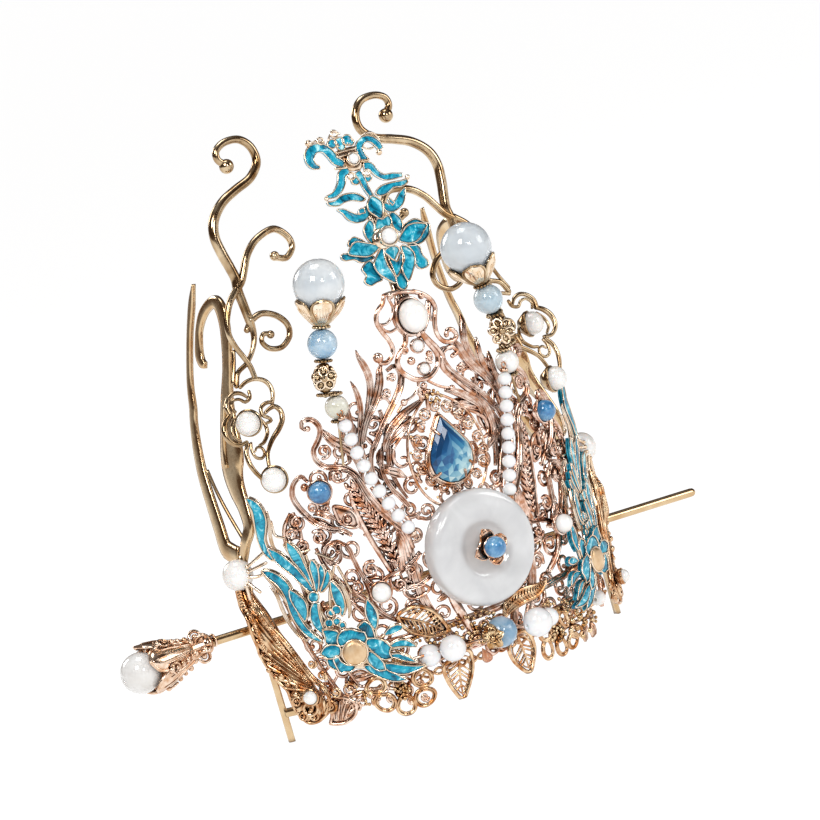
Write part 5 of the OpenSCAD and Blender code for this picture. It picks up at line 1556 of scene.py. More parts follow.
GS = Mesh()
S_GEM = plane((0, -1, 0), 37.2)
rim_pts = pear(1.055, 40, -38.9)
tube(GS, rim_pts, 0.3, k=8, closed=True, step=1e9)
tube(GS, pear(1.07, 40, -37.4), 0.5, k=8, closed=True, step=1e9)
strap(GS, [list(p) + [0.42] for p in pear(1.05, 40, -37.0) + [pear(1.05, 40, -37.0)[0]]], lambda p: FWD, "flat", 1.7, step=1e9, scale_t=False)
plate(GS, pear(1.0, 32, -36.7), FWD, 0.6, 0)
for p in spline(pear(1.13, 40, -38.3), 0.66, closed=True):
    ball(GS, p, 0.32, 0, seg=8, rings=6)
for x, y in ((434, 431), (470.8, 462), (435.6, 476.7), (464.7, 473)):
    p = S_GEM[0](x, y, 2.2)
    c = np.array([0, -38.6, GZ + 1.0])
    d = unit(c - p)
    tube(GS, [p - d * 0.8 + FWD * -0.6, p + FWD * 0.6, p + d * 1.1 + FWD * 1.6], 0.42, k=8)
# ring of small scrolls, each a C with curled ends, joined by granules
for i, (x, y, r) in enumerate(((424.9, 414.7, 6), (421.8, 427, 5), (417.2, 441, 5.5), (417.5, 455, 5.5), (423, 469, 5.5), (433, 480, 5), (444, 487, 5), (456, 488.5, 5), (467.8, 483, 5), (476.4, 473.5, 5), (483.6, 462, 5.5), (483, 449, 5.5), (477.5, 436, 5.5), (468.6, 423.5, 5.5), (458.9, 413.8, 5.5), (447, 406, 6), (434.5, 405.5, 5.5))):
    c = S_GEM[0](x, y, 0.5)
    sg = 1 if i % 2 else -1
    px_curl(GS, S_GEM, x, y, r, 0.6, 0.34, 1.5, 40 * i, sg)
    torus(GS, c, FWD, r * MMPX * 1.02, 0.27, 14, 6, 0, 30 * i, 30 * i + 250)
for i in range(34):
    w = 2 * math.pi * i / 34
    p = np.array([math.cos(w) * 10.9, -37.5, GZ + 0.7 + math.sin(w) * 12.2 + (1.8 if math.sin(w) > 0 else 0)])
    if i % 2 == 0:
        ball(GS, p, 0.42, 1, seg=8, rings=6)
for side in (-1, 1):
    base = [(0, 18.2), (3.4, 16.6), (7.6, 13), (10.6, 8), (11.8, 2), (11.0, -4.6), (8.2, -9.6), (4, -12.4), (0, -13)]
    tube(GS, [[side * x, -37.2, GZ + z, 0.42] for x, z in base], None, k=8)
GS.make("gem_setting_piece", [ROSE, YELLOW], "crown", "rose_gold", ["gem_setting"])

OP = Mesh()
oc = np.array([0, -40.35, 103.2])
lathe(OP, oc, FWD, smooth_prof([(0, -3.8), (2.2, -3.3), (3.5, -1.8), (3.88, 0), (3.5, 1.8), (2.2, 3.2), (0, 3.75)], 0.5), 36, wobble=0.004, seed=9)
OP = OP.moved(lambda p: np.array([p[0], p[1], oc[2] + (p[2] - oc[2]) * 1.18]))
OP.make("oval_pearl_piece", [PEARL], "crown", "pearl", ["oval_pearl"])

# ---------------------------------------------------------------- front filigree
F = Mesh()
SC = cyl(71.4)


def fs(pts, w=2.6, kind="groove", t=1.3, lift=0.0, surf=S_PANEL, M=F, **kw):
    pts = [(q[0], q[1], q[2] * 1.14) if len(q) > 2 else q for q in pts]
    px_strap(M, surf, pts, w, kind, t, lift, **kw)


def ft(pts, w=1.7, lift=0.5, surf=S_PANEL, M=F, **kw):
    px_tube(M, surf, pts, w, lift, **kw)


H = Mesh()      # left half, mirrored later
# blades between the string and the gem
fs([(355.3, 350, .4), (358, 357, 2), (362.5, 364, 3), (367.5, 374, 3.2), (370, 387, 3.2), (369, 401, 3), (367, 414, 2.8), (363, 428, 2.6), (361, 442, 2.4)], M=H, lift=0.5, kind="ridge")
fs([(350, 381, .4), (354.5, 389, 2), (358.5, 400, 2.6), (360.3, 413, 2.6), (359.8, 428, 2.4), (361, 444, 2.4)], M=H, lift=0.1)
fs([(381.5, 362, .5), (379, 371, 2.6), (379, 381, 3.6), (377.5, 392, 3.8), (373.6, 404, 3.4), (368.6, 416, 2.8), (365, 428, 2.4), (362.5, 442, 2.2)], M=H, lift=0.9, kind="ridge")
fs([(386, 371, 1.6), (394, 366, 2.2), (400, 373, 2.8), (400, 385, 3), (395.8, 397, 2.8), (390, 409, 2.6), (384, 421, 2.4), (378, 436, 2.4), (373, 450, 2.2)], M=H, lift=0.5)
px_curl(H, S_PANEL, 386, 393, 5, 1.2, 0.45, 1.3, 200, 1)
fs([(379, 410, 1.6), (383, 421, 2), (386, 433, 2.2), (387.5, 446, 2.2), (388, 460, 2.2), (392, 474, 2), (399, 487, 1.6), (407, 498, 1.2)], M=H, lift=0.2)
fs([(382, 424, 1.2), (377, 438, 2), (371.5, 452, 2.2), (371, 466, 2.2), (376, 480, 2), (386, 494, 1.8)], M=H, lift=0.4)
fs([(383, 443, 1.2), (380.8, 459, 2), (383, 474, 2), (391, 488, 2.2), (400, 497, 2.4), (410, 508, 2)], M=H, lift=0.7)
fs([(420.5, 417.5, .4), (410, 422, 3.4), (399.5, 431, 3.6), (391, 441, 2.4), (386, 449, 1)], M=H, lift=0.8, kind="ridge")
ft([(412.7, 422.4, 1.4), (400.4, 437.7, 1.9), (393, 450, 2), (394.3, 460.6, 2), (400.4, 466.7, 1.9), (407.3, 463.7, 1.8), (406.5, 457.6, 1.6), (402, 457.6, 1.7)], M=H, lift=1.0)
fs([(380.5, 473, .4), (388, 471, 3.4), (397, 473, 4.2), (406.5, 477.5, .8)], M=H, lift=0.9, kind="ridge")
fs([(376, 462, .4), (382, 466, 2.4), (391, 468, 2.2), (400, 472, .5)], M=H, lift=0.5, kind="ridge")
fs([(343, 402, .4), (347, 410, 2.2), (349.5, 421, 2.6), (352, 432, 2.4), (356, 444, 2.2), (361, 457, 2)], M=H, lift=-0.1, kind="ridge")
ft([(361, 440, 2), (363, 452, 2), (368, 466, 2), (375, 480, 2), (385, 494, 2), (397, 508, 2), (410, 522, 2)], M=H, lift=0.2)
ft([(372, 410, 1.5), (379, 400, 1.5), (386, 399, 1.5), (391, 405, 1.4)], M=H, lift=0.6)
ft([(366, 428, 1.5), (372, 420, 1.4), (381, 421, 1.5)], M=H, lift=0.5)
ft([(359, 428, 1.5), (364, 436, 1.4), (371, 444, 1.4)], M=H, lift=0.6)
# scrolls of the side field
fs([(306, 430, 1.6), (301.5, 427, 2), (303, 421, 2.2), (310.8, 419.5, 2.4), (318, 425, 2.6), (320, 434, 2.6), (316.5, 443.7, 2.6), (313.4, 451, 2.4), (316, 460, 2.5), (324.6, 466.5, 2.6), (334, 467, 2.6), (343, 467.5, 2.6), (351, 471, 2.6), (358, 477, 2.4), (364, 487, 2)], M=H, lift=0.7)
ball(H, S_PANEL[0](307.5, 429, 1.4), 0.85, 0)
fs([(319, 427.5, .6), (325, 434, 3), (333, 441, 4.6), (343, 446, 5), (352, 452, 4), (357.5, 462, 3), (361.5, 473, 2.2)], M=H, lift=0.3, kind="ridge")
px_curl(H, S_PANEL, 323.7, 451.4, 7, 1.0, 0.5, 1.4, 250, 1)
px_curl(H, S_PANEL, 337.5, 476, 6.3, 1.0, 0.5, 1.4, 300, -1)
fs([(341, 470, 1.4), (350, 473, 2.2), (356, 480, 2.4), (361, 489, 2.2), (368, 500, 2)], M=H, lift=1.0)
fs([(355, 475, 1.2), (361, 484, 2.4), (368.5, 496, 3.2), (381.4, 511, 3.6), (395.2, 523, 3.4), (409, 533, 2.6)], M=H, lift=1.2)
fs([(308, 482, 1.4), (301, 476.5, 2), (293.8, 484, 2.4), (292.5, 495.3, 2.6), (298, 506, 2.8), (307.4, 516, 2.8), (317.7, 524, 2.8), (329.8, 528.4, 2.6), (342, 530, 2.4), (352, 535, 2)], M=H, lift=0.7)
ball(H, S_PANEL[0](304.5, 487.6, 1.3), 1.15, 0)
px_curl(H, S_PANEL, 312.5, 507, 5.4, 1.1, 0.42, 1.4, 30, -1)
px_curl(H, S_PANEL, 326, 508.5, 4.6, 1.1, 0.38, 1.3, 150, 1)
fs([(313, 515, .5), (320, 513, 3), (328, 515, 3.4), (336, 520, .8)], M=H, lift=0.9, kind="ridge")
fs([(303, 516, 1.2), (311, 519, 2.2), (321, 521, 2.4), (333, 527, 2), (344, 534, 1.6)], M=H, lift=0.2)
px_curl(H, S_PANEL, 296.5, 522, 5.4, 0.9, 0.42, 1.4, 80, 1)
px_curl(H, S_PANEL, 291.5, 534.5, 6, 0.9, 0.45, 1.4, 20, 1)
px_curl(H, S_PANEL, 302, 546, 6, 0.8, 0.45, 1.4, 320, 1)
px_curl(H, S_PANEL, 318.5, 537.5, 7.4, 1.0, 0.5, 1.5, 120, -1)
fs([(345.3, 545.3, 1.6), (336.7, 541.7, 2.1), (327, 546.5, 2.3), (324.8, 556, 2.3), (331, 563.5, 2.2), (339, 561, 2), (341, 553.5, 1.8), (335.5, 550.5, 1.7)], M=H, lift=0.9)
fs([(343, 543, 1.4), (349, 549, 2.2), (353.5, 559, 2.3), (358.5, 569, 2.1), (366, 580, 1.8), (376, 588, 1.6)], M=H, lift=0.5)
# eye-shaped leaf
loop_eye = outline_px(S_PANEL, [(334, 506.5), (335.5, 514), (340, 522), (348, 527), (357.5, 526.5), (357, 518), (352, 511), (345, 508)], 0.9, 0.5)
tube(H, loop_eye, 0.5, k=8, closed=True, step=1e9)
plate(H, loop_eye + S_PANEL[1](loop_eye[0]) * -1.0, S_PANEL[1](loop_eye[0]), 0.7, 0, 0.3)
ball(H, S_PANEL[0](348, 519.4, 1.2), 0.95, 0, scale=(1, 1, 1))
torus(H, S_PANEL[0](348, 519.4, 1.2), S_PANEL[1](loop_eye[0]), 1.35, 0.25, 16, 7)
# stepped frame of the ear, fluted fan under it
fs([(350, 490, 2), (353, 503, 2.4), (360, 519, 2.6), (370, 538, 2.6), (381, 556, 2.4), (391, 572, 2)], M=H, lift=0.1, kind="dome")
fs([(371, 487, 1.8), (380, 500, 2.4), (392, 519, 2.6), (402, 536, 2.4), (409, 552, 2)], M=H, lift=0.1, kind="dome")
for i in range(6):
    u = i / 5
    x0, y0 = 398 - 2 * u, 524 + 8 * u
    x1, y1 = 413 - 12 * u, 548 + 22 * u
    fs([(x0, y0, .7), ((x0 + x1) / 2 + 1, (y0 + y1) / 2 - 1, 2.5), (x1, y1, 2.2)], M=H, lift=0.7, kind="dome", t=1.1)
px_curl(H, S_PANEL, 371, 569, 8, 1.0, 0.52, 1.5, 60, 1)
px_curl(H, S_PANEL, 357, 588, 6.5, 0.8, 0.48, 1.4, 100, -1)
px_curl(H, S_PANEL, 400, 584, 6.5, 1.0, 0.48, 1.4, 200, 1)
px_curl(H, S_PANEL, 411, 570, 5.5, 1.1, 0.42, 1.4, 160, -1)
fs([(376, 588, 1.6), (388, 577, 2.4), (400, 571, 2.6), (412, 562, 2.4), (420, 552, 2)], M=H, lift=0.5)
fs([(363, 578, 1.6), (369, 590, 2.3), (374, 604, 2.4), (384, 614, 2.4), (398, 620, 2.2), (414, 624, 2)], M=H, lift=0.2)
fs([(396, 590, 1.4), (408, 588, 2.2), (420, 584, 2.2), (430, 576, 2)], M=H, lift=0.4)
# pointed opening in a raised rim
loop_m = outline_px(S_PANEL, [(404, 592), (411, 586), (420, 584), (429.5, 588.5), (421, 596), (411, 598)], 1.0, 0.5)
tube(H, loop_m, 0.46, k=8, closed=True, step=1e9)
# lower side field behind the wing and lotus
for pts in ([(300, 553, 1.8), (308, 566, 2.2), (322, 578, 2.4), (338, 590, 2.4), (352, 602, 2.2), (366, 616, 2)],
            [(316, 548, 1.6), (325, 566, 2.2), (338, 580, 2.4), (352, 590, 2.4), (366, 600, 2.2), (376, 612, 2)],
            [(300, 580, 1.6), (308, 600, 2.2), (318, 622, 2.4), (330, 644, 2.4), (344, 664, 2.2), (358, 684, 2)],
            [(284, 600, 1.4), (296, 622, 2.2), (308, 646, 2.4), (322, 668, 2.2), (338, 690, 2), (352, 704, 1.6)]):
    fs(pts, M=H, lift=-0.3, kind="dome")
fs([(290, 513, 1.2), (285, 527, 2.2), (286, 541, 2.4), (292, 556, 2.4), (300, 572, 2.2), (308, 590, 2), (314, 612, 1.8)], M=H, lift=-0.1, kind="dome")
F.join(H).join(H.mirror())

# centre line, traced on both sides
C_ = F
ft([(413.4, 291.5), (423.4, 294.5), (431, 300), (434.9, 307.6), (434.5, 316.7), (434.8, 326), (437.3, 335), (444, 341.2), (451.7, 341.2), (456.3, 336), (452.5, 329.7), (447.1, 330.5), (446.3, 335)], 2.6, 0.9, SC)
ft([(383.6, 296.8), (382, 304.5), (376.7, 313), (376.7, 323), (382, 332), (388.9, 340.5), (392.8, 349), (391.2, 357.3), (386.6, 362.7), (380.5, 363)], 2.6, 0.9, SC)
ball(F, SC[0](378, 358, 0.9), 1.45, 0)
ft([(428, 296.8), (430.3, 303), (429.5, 311), (431, 320)], 1.5, 0.3, SC)
ft([(383.6, 296), (392, 293), (403, 292), (413.4, 292)], 2.4, 0.9, SC)
ft([(388.2, 298.4), (392.8, 308), (391.2, 318), (386, 324), (380, 325)], 1.6, 0.9, SC)
ft([(379, 324.4), (384, 330), (390, 332), (395.8, 329)], 1.6, 1.0, SC)
fs([(395.8, 298.4, 1.5), (396.5, 309, 2.4), (398.5, 320, 2.4), (402, 331, 1.8), (406, 340, 1.2)], surf=SC)
fs([(427, 300, 1.4), (426, 311, 2.2), (424.5, 322, 2.2), (421, 332, 1.8), (417, 340, 1.2)], surf=SC)
ft([(405.8, 333.6), (405, 344.3), (399.6, 353.5), (397.3, 362.7), (401.9, 371.8), (412.7, 378.7), (421.8, 379.5), (431, 375.7), (437.1, 365.7), (437.1, 355), (432.6, 348), (428, 343), (421.8, 334)], 2.8, 1.0, SC)
ft([(421.8, 332), (429.5, 339.7), (437.1, 347.3), (443.3, 356.5)], 2.2, 1.3, SC)
ft([(452.5, 355.8), (457, 352), (455.5, 349), (450.9, 346.6), (444, 350.4), (441, 358.1), (442.5, 367.2), (449.4, 374.9), (458.6, 382.6), (466.2, 388.7), (473.9, 394)], 2.6, 0.9, SC)
px_curl(F, SC, 460.1, 368.8, 4.6, 1.0, 0.4, 1.3, 0, 1)
px_curl(F, SC, 392, 378, 4.6, 1.0, 0.4, 1.3, 180, -1)
# small curls within, and the broad leaves that rise beside the stone
px_curl(F, SC, 405, 350, 4.6, 1.1, 0.4, 1.3, 90, 1)
px_curl(F, SC, 430, 358, 4.6, 1.1, 0.4, 1.3, 270, -1)
fs([(384, 452, 1.2), (386, 440, 3), (392, 427, 3.8), (402, 415, 3.6), (413, 406, 2.6), (420, 400, 1)], kind="ridge", lift=1.2, t=1.5)
fs([(481, 414, .8), (476, 404, 3), (466, 397, 3.8), (455, 392, 3.4), (444, 390, 1.6)], kind="ridge", lift=1.2, t=1.5)
fs([(490, 440, 1.2), (491, 426, 3), (487, 413, 3.6), (480, 402, 2.6), (471, 394, 1)], kind="ridge", lift=0.8, t=1.4)
for x, y, r in ((411.1, 361.1, 4.4), (429, 353.8, 3.6), (405, 349, 3), (418, 334, 3.2), (409, 327, 3), (424, 385.5, 3.4), (404, 402.5, 3.6), (452, 388, 3.4), (390, 296, 3.6), (421, 296, 3.4)):
    ball(F, SC[0](x, y, 1.2), r * MMPX, 0)
for sx in (-1, 1):
    for c, n, r in ((shell_pt(sx * 36.8, 65.4, 74.2), shell_n(sx * 36.8, 74.2), 3.02), (shell_pt(sx * 29.8, 35, 75.6), shell_n(sx * 29.8, 75.6), 2.62)):
        bezel(F, c, n, r, -0.8, 0.4, 0, 0.28)
        tube(F, [c - n * (r + 0.3), c - n * (r + 2.6)], 0.8, k=8)
bezel(F, np.array([0, -38, 88.4]), FWD, 1.5, 0.0, 0.35, 0, 0.26)
bezel(F, np.array([0, -38, 94.9]), FWD, 1.65, 0.0, 0.35, 0, 0.26)
# collar of the oval pearl
ovl = [np.array([4.35 * math.cos(w), -38.6, 103.2 + 5.05 * math.sin(w)]) for w in np.linspace(0, 2 * math.pi, 36, endpoint=False)]
tube(F, ovl, 0.42, k=8, closed=True, step=1e9)
tube(F, [p + np.array([0, 1.3, 0]) for p in ovl], 0.6, k=8, closed=True, step=1e9)
plate(F, [p + np.array([0, 1.9, 0]) for p in ovl], FWD, 0.6, 0)
# rosette and granule flower over the gem
rc = SC[0](423.4, 392.5, 0.6)
for i in range(6):
    w = math.pi / 3 * i
    ball(F, rc + np.array([math.cos(w) * 1.2, 0, math.sin(w) * 1.2]), 0.72, 0)
ball(F, rc + FWD * 0.4, 0.7, 0)
granules(F, SC, (433, 395.6), 8, 12, 0.55, 0.9, 1, 11)
ft([(418.8, 385.6), (413.4, 395.6), (404.2, 402.5), (398, 412)], 1.5, 0.7, SC)
ft([(428, 381), (440.2, 386.4), (451.7, 388)], 1.5, 0.7, SC)
ft([(418, 380), (419, 388), (421, 400)], 1.8, 0.7, SC)
ft([(427, 399), (427.5, 404), (428.5, 409)], 2.2, 0.5, SC)
# posts down to the disc, behind it
for sx in (-1, 1):
    strap(F, [[sx * 2.4, -36.9, 52, 1.2], [sx * 6, -36.4, 42, 1.4], [sx * 9.5, -35.4, 30, 1.4], [sx * 8, -35.8, 20, 1.4], [sx * 5, -36.3, 12, 1.2]], lambda p: unit(np.array([p[0], p[1] - 34, 0])), "dome", 1.2)
    strap(F, [[sx * 16.8, -34.0, 50, 1.2], [sx * 17.6, -33.8, 40, 1.3], [sx * 17.4, -33.9, 29, 1.3], [sx * 14.5, -34.5, 20, 1.2], [sx * 10, -35.3, 13, 1]], lambda p: unit(np.array([p[0], p[1] - 34, 0])), "ridge", 1.2)
for z in (20, 12.5):
    strap(F, [[x, 34 - math.sqrt(70 ** 2 - x * x), z + (abs(x) / 60) ** 2 * 2, 1.1] for x in np.linspace(-40, 40, 25)], lambda p: unit(np.array([p[0], p[1] - 34, 0])), "dome", 1.0, step=3, scale_t=False)
F.make("front_filigree", [ROSE_D, YELLOW], "crown", "rose_gold", ["front_panel"])

# scrollwork behind, filling the panel between the traced pieces
EDGE = [[45, 8], [45.4, 26], [44.2, 44], [43.5, 54], [41.5, 60], [38.6, 62], [37, 66], [34, 69], [31, 71], [28, 73], [25.4, 75], [24, 80], [21, 84], [19, 84], [16.6, 84], [13, 80], [10, 76], [6, 74], [0, 74], [0, 8]]


def inside(x, z, poly):
    hit = False
    for (x0, z0), (x1, z1) in zip(poly, poly[1:] + poly[:1]):
        if (z0 > z) != (z1 > z) and x < (x1 - x0) * (z - z0) / (z1 - z0) + x0:
            hit = not hit
    return hit


R_BACK = 69.4


def back_pt(s_, z, lift=0.0):
    a_ = s_ / R_BACK
    return np.array([(R_BACK + lift) * math.sin(a_), 34 - (R_BACK + lift) * math.cos(a_), z])


G2 = Mesh()
rng = random.Random(41)
spots = []
for _ in range(6000):
    s_, z = rng.uniform(1.5, 50), rng.uniform(10, 84)
    x = R_BACK * math.sin(s_ / R_BACK)
    if not inside(x, z, EDGE):
        continue
    r_ = rng.uniform(2.0, 3.2)
    if any((s_ - u) ** 2 + (z - v) ** 2 < (r_ + q + 0.5) ** 2 for u, v, q in spots):
        continue
    spots.append((s_, z, r_))
for s_, z, r_ in spots:
    st = rng.uniform(0, 360)
    sg = rng.choice((-1, 1))
    c = back_pt(s_, z, rng.uniform(0, 0.5))
    n = unit(np.array([c[0], c[1] - 34, 0]))
    pts = spiral_pts(c, n, r_ * 1.08, r_ * 0.3, 1.25, st, sg, k=12)
    tube(G2, [list(q) + [0.6 - 0.14 * i / len(pts)] for i, q in enumerate(pts)], None, k=6, step=1e9)
    ball(G2, pts[-1], 0.72, 0, 8, 6)
    # a stem on to one of its neighbours
    near = sorted(spots, key=lambda q: (q[0] - s_) ** 2 + (q[1] - z) ** 2)[1:4]
    for u, v, q in near[:1]:
        a_, b_ = pts[0], back_pt(u, v, 0.2)
        d_ = b_ - a_
        side = np.cross(unit(d_), n) * rng.uniform(-0.9, 0.9)
        e_ = b_ - unit(d_) * q
        mid = (a_ + e_) / 2 + side
        tube(G2, [list(a_) + [0.54], list(mid) + [0.68], list(e_) + [0.5]], None, k=6, step=1.0)
G2.join(G2.mirror())
G2.make("panel_scrolls", [ROSE_D], "crown", "rose_gold", ["front_panel"])

# ---------------------------------------------------------------- base: rail trim, beads and granules
K = Mesh()
granules(K, S_OUT, (466, 632), 20, 34, 0.62, -1.0, 1, 31, 1.3, 0.75)
granules(K, S_OUT, (487, 618), 12, 16, 0.6, -0.8, 1, 32, 1.3, 0.7)
granules(K, S_OUT, (432, 640), 14, 14, 0.6, -1.0, 1, 33, 1.4, 0.6)
granules(K, S_OUT, (560, 606), 12, 16, 0.6, -0.8, 1, 34, 1.4, 0.6)
granules(K, S_OUT, (586, 616), 12, 16, 0.6, -0.8, 1, 35, 1.0, 0.8)
granules(K, S_OUT, (392, 655), 12, 14, 0.6, -1.0, 1, 36, 1.2, 0.7)
R_RAIL, Z_RAIL, RAIL_A = 67.8, 8.6, math.radians(46.6)


def rail_pt(a_, out=0.0, z=0.0):
    return np.array([(R_RAIL + out) * math.sin(a_), 34 - (R_RAIL + out) * math.cos(a_), Z_RAIL + z])


RB = Mesh()
n_ = 360
for ph, w_ in ((0, 0.42), (math.pi, 0.42)):
    tube(RB, [list(rail_pt(-RAIL_A + 2 * RAIL_A * i / n_, 0.28 * math.cos(2 * math.pi * 17 * i / n_ + ph), 0.82 * math.sin(2 * math.pi * 17 * i / n_ + ph))) + [w_] for i in range(n_ + 1)], None, k=7, step=1e9)
for i in range(35):
    a_ = -RAIL_A + 2 * RAIL_A * i / 34
    ball(RB, rail_pt(a_, 0.5), 0.46, 0, 8, 6)
RB.make("base_border", [COPPER], "crown", "rose_gold", ["base_rail"])
S_BASE = cyl(71.6)
for x, y, r, st, sg in ((350, 690, 7, 30, 1), (362, 702, 6, 200, -1), (372, 694, 5, 90, 1), (356, 706, 5, 300, 1), (346, 700, 5, 120, -1), (384, 688, 5, 210, 1), (396, 683, 4.4, 40, -1), (408, 690, 5, 300, 1), (420, 684, 4.4, 150, -1), (376, 702, 4.6, 20, 1), (391, 698, 4.2, 250, -1), (412, 701, 4, 80, 1), (425, 697, 4, 330, -1), (436, 655, 5, 60, 1), (447, 651, 4.5, 250, -1),
                        (478, 640, 4.5, 30, 1), (566, 606, 5, 200, 1), (578, 606, 5, 100, -1), (590, 612, 5, 0, 1), (585, 628, 5, 160, 1), (500, 640, 4.5, 330, -1)):
    px_curl(K, S_BASE, x, y, r, 0.2, 0.42, 1.4, st, sg)
granules(K, S_BASE, (368, 698), 10, 12, 0.5, 0.0, 1, 37)
granules(K, S_BASE, (352, 686), 7, 7, 0.5, 0.0, 1, 38)
# scallop-shaped leaf at the left end, with ribs
shell_c = S_BASE[0](340, 705, 0.3)
shell_n_ = S_BASE[1](shell_c)
fan = outline_px(S_BASE, [(329.8, 704.4), (335, 698.4), (345, 697.6), (354.6, 702.4), (356.6, 709), (354, 716.4), (346, 722.6), (337, 724), (331.4, 723.6), (330.6, 722.8), (332, 715)], 0.3, 0.6)
tube(K, fan, 0.5, k=8, closed=True, step=1e9)
plate(K, fan - shell_n_ * 0.8, shell_n_, 0.5, 0)
for x0, y0, x1, y1 in ((334.5, 719, 333.5, 703), (338.5, 720, 340, 701), (342.5, 719.5, 346, 702), (346, 717, 351, 705), (349, 713.5, 353.6, 709)):
    px_tube(K, S_BASE, [(x0, y0, 0.9), ((x0 + x1) / 2 - 0.6, (y0 + y1) / 2, 1.7), (x1, y1, 1.0)], lift=0.35, k=7)
# drops and buds at the right end
for x, y, r in ((566, 612, 3.2), (572, 621, 3.4), (580, 617, 3.2), (577, 628, 3.4), (585, 622, 3.2), (590, 630, 3), (571, 630, 3), (583, 636, 3), (592, 620, 3)):
    ball(K, S_BASE[0](x, y, 0.3), r * MMPX, 1)
px_strap(K, S_BASE, [(589.5, 622, 1), (591, 627, 4), (591.8, 632.5, 4.4), (592, 637.5, .6)], kind="ridge", t=1.1)
px_strap(K, S_BASE, [(581, 627, 1), (583, 632, 3), (584, 637.5, 3), (584.5, 642, .6)], kind="ridge", t=1.1)
# stems that tie the border, leaves and flowers together
for pts in ([(343, 700, 2), (362, 692, 2), (382, 688, 2), (402, 690, 2)], [(404, 690, 2), (424, 668, 2), (446, 657, 2), (462, 652, 2), (480, 640, 2), (500, 632, 2)], [(500, 632, 2), (518, 634, 2), (540, 630, 2), (557, 632, 2), (575, 622, 2), (592, 616, 2)]):
    px_tube(K, S_BASE, pts, lift=-0.5, k=7)
# gold flower cap of the big blue bead
bbc = shell_pt(-1.5, 14.4, 76)
capn = unit(np.array([-0.75, -0.66, 0.05]))
capc = bbc + capn * 4.2 + np.array([-1.2, 0, -0.4])
ca_, cb_, _ = basis(capn)
for i in range(5):
    w = 2 * math.pi * i / 5 + 0.3
    d_ = ca_ * math.cos(w) + cb_ * math.sin(w)
    e_ = np.cross(capn, d_)
    strap(K, [list(capc + d_ * 0.5) + [0.5], list(capc + d_ * 1.5 + capn * 0.3) + [1.1], list(capc + d_ * 2.5 + capn * 0.2) + [1.05], list(capc + d_ * 3.3 - capn * 0.1) + [0.2]], lambda p: capn, "ridge", 0.6, 1, step=0.5, base=-0.2)
ball(K, capc + capn * 0.5, 0.8, 1)
for i in range(7):
    w = 2 * math.pi * i / 7
    ball(K, capc + (ca_ * math.cos(w) + cb_ * math.sin(w)) * 1.1 + capn * 0.45, 0.36, 1, 8, 6)
lathe(K, bbc, np.array([-1.0, -0.15, 0]), [(0, 2.6), (3.2, 3.0), (3.6, 3.4), (2.6, 4.4), (0, 4.8)], 20, 1)
tube(K, [shell_pt(x, z, 75.0) for x, z in ((-27, 15.2), (-20, 15), (-12, 14.4), (0, 14), (12, 13.8), (18, 13.4))], 0.4, k=8, mat=0)
for x, z, r in ((-27, 15.2, 75), (18, 13.4, 75), (-12, 14.4, 75), (8, 13.9, 75)):
    p = shell_pt(x, z, r)
    tube(K, [p, p - shell_n(x, r) * 5], 0.5, k=8, mat=0)
# the beads below include a second, smaller pearl seen behind the right one
K.make("base_trim", [ROSE, YELLOW], "crown", "rose_gold")
for nm, x, z, r, rad, mat, slot, node in (
        ("base_bead_blue", -1.5, 14.4, 76, 4.28, CHALC_B, "blue_chalcedony", "base_blue_bead"),
        ("base_bead_left", -16.7, 14.9, 77, 3.63, SHELL, "pearl", "base_pearl_L"),
        ("base_bead_right", 9.2, 13.6, 78, 4.03, SHELL, "pearl", "base_pearl_R"),
        ("base_bead_small", -21.3, 14.3, 73.15, 3.03, SHELL, "pearl", "base_pearl_S"),
        ("base_bead_far", 38.5, 10.5, 72.3, 2.23, PEARL, "pearl", "base_pearl_T"),
        ("base_bead_back", 15.6, 12.8, 74.6, 2.58, SHELL, "pearl", "base_pearl_U")):
    M = Mesh()
    c = shell_pt(x, z, r)
    n = shell_n(x, r)
    drilled(M, c, rad, np.array([-n[1], n[0], 0]), 0.5, seg=36, rings=20, seed=len(nm), squash=0.99)
    M.make(nm, [mat], "crown", slot, [node])
M = Mesh()
ac = shell_pt(-6.6, 9.6, 73.6)
lathe(M, ac - np.array([0, 0, 0.3]), np.array([0.25, 0, -1.0]), smooth_prof([(0, -2.6), (0.5, -1.6), (1.25, -0.2), (1.5, 0.8), (1.15, 1.6), (0, 1.95)], 0.3), 24)
M.make("amber_drop_piece", [AMBER], "crown", "amber", ["amber_drop"])
# ---------------------------------------------------------------- side frames and rear horns
Q = Mesh()
nh = S_HORN[1]


def fit_rows(surf, pts, lift=0.0):
    """Rows whose half widths look as wide in the picture as the pixels given, however the surface is turned."""
    P = [surf[0](q[0], q[1], lift) for q in pts]
    T = tangents(np.array(P))
    X, Y = CR * RV - SR * UV, SR * RV + CR * UV
    out = []
    for a_, q, t_ in zip(P, pts, T):
        s_ = unit(np.cross(t_, surf[1](a_)))
        k_ = abs((s_ @ X) * (t_ @ Y) - (s_ @ Y) * (t_ @ X)) / math.hypot(t_ @ X, t_ @ Y)
        out.append(list(a_) + [q[2] * MMPX / max(k_, 0.35)])
    return out


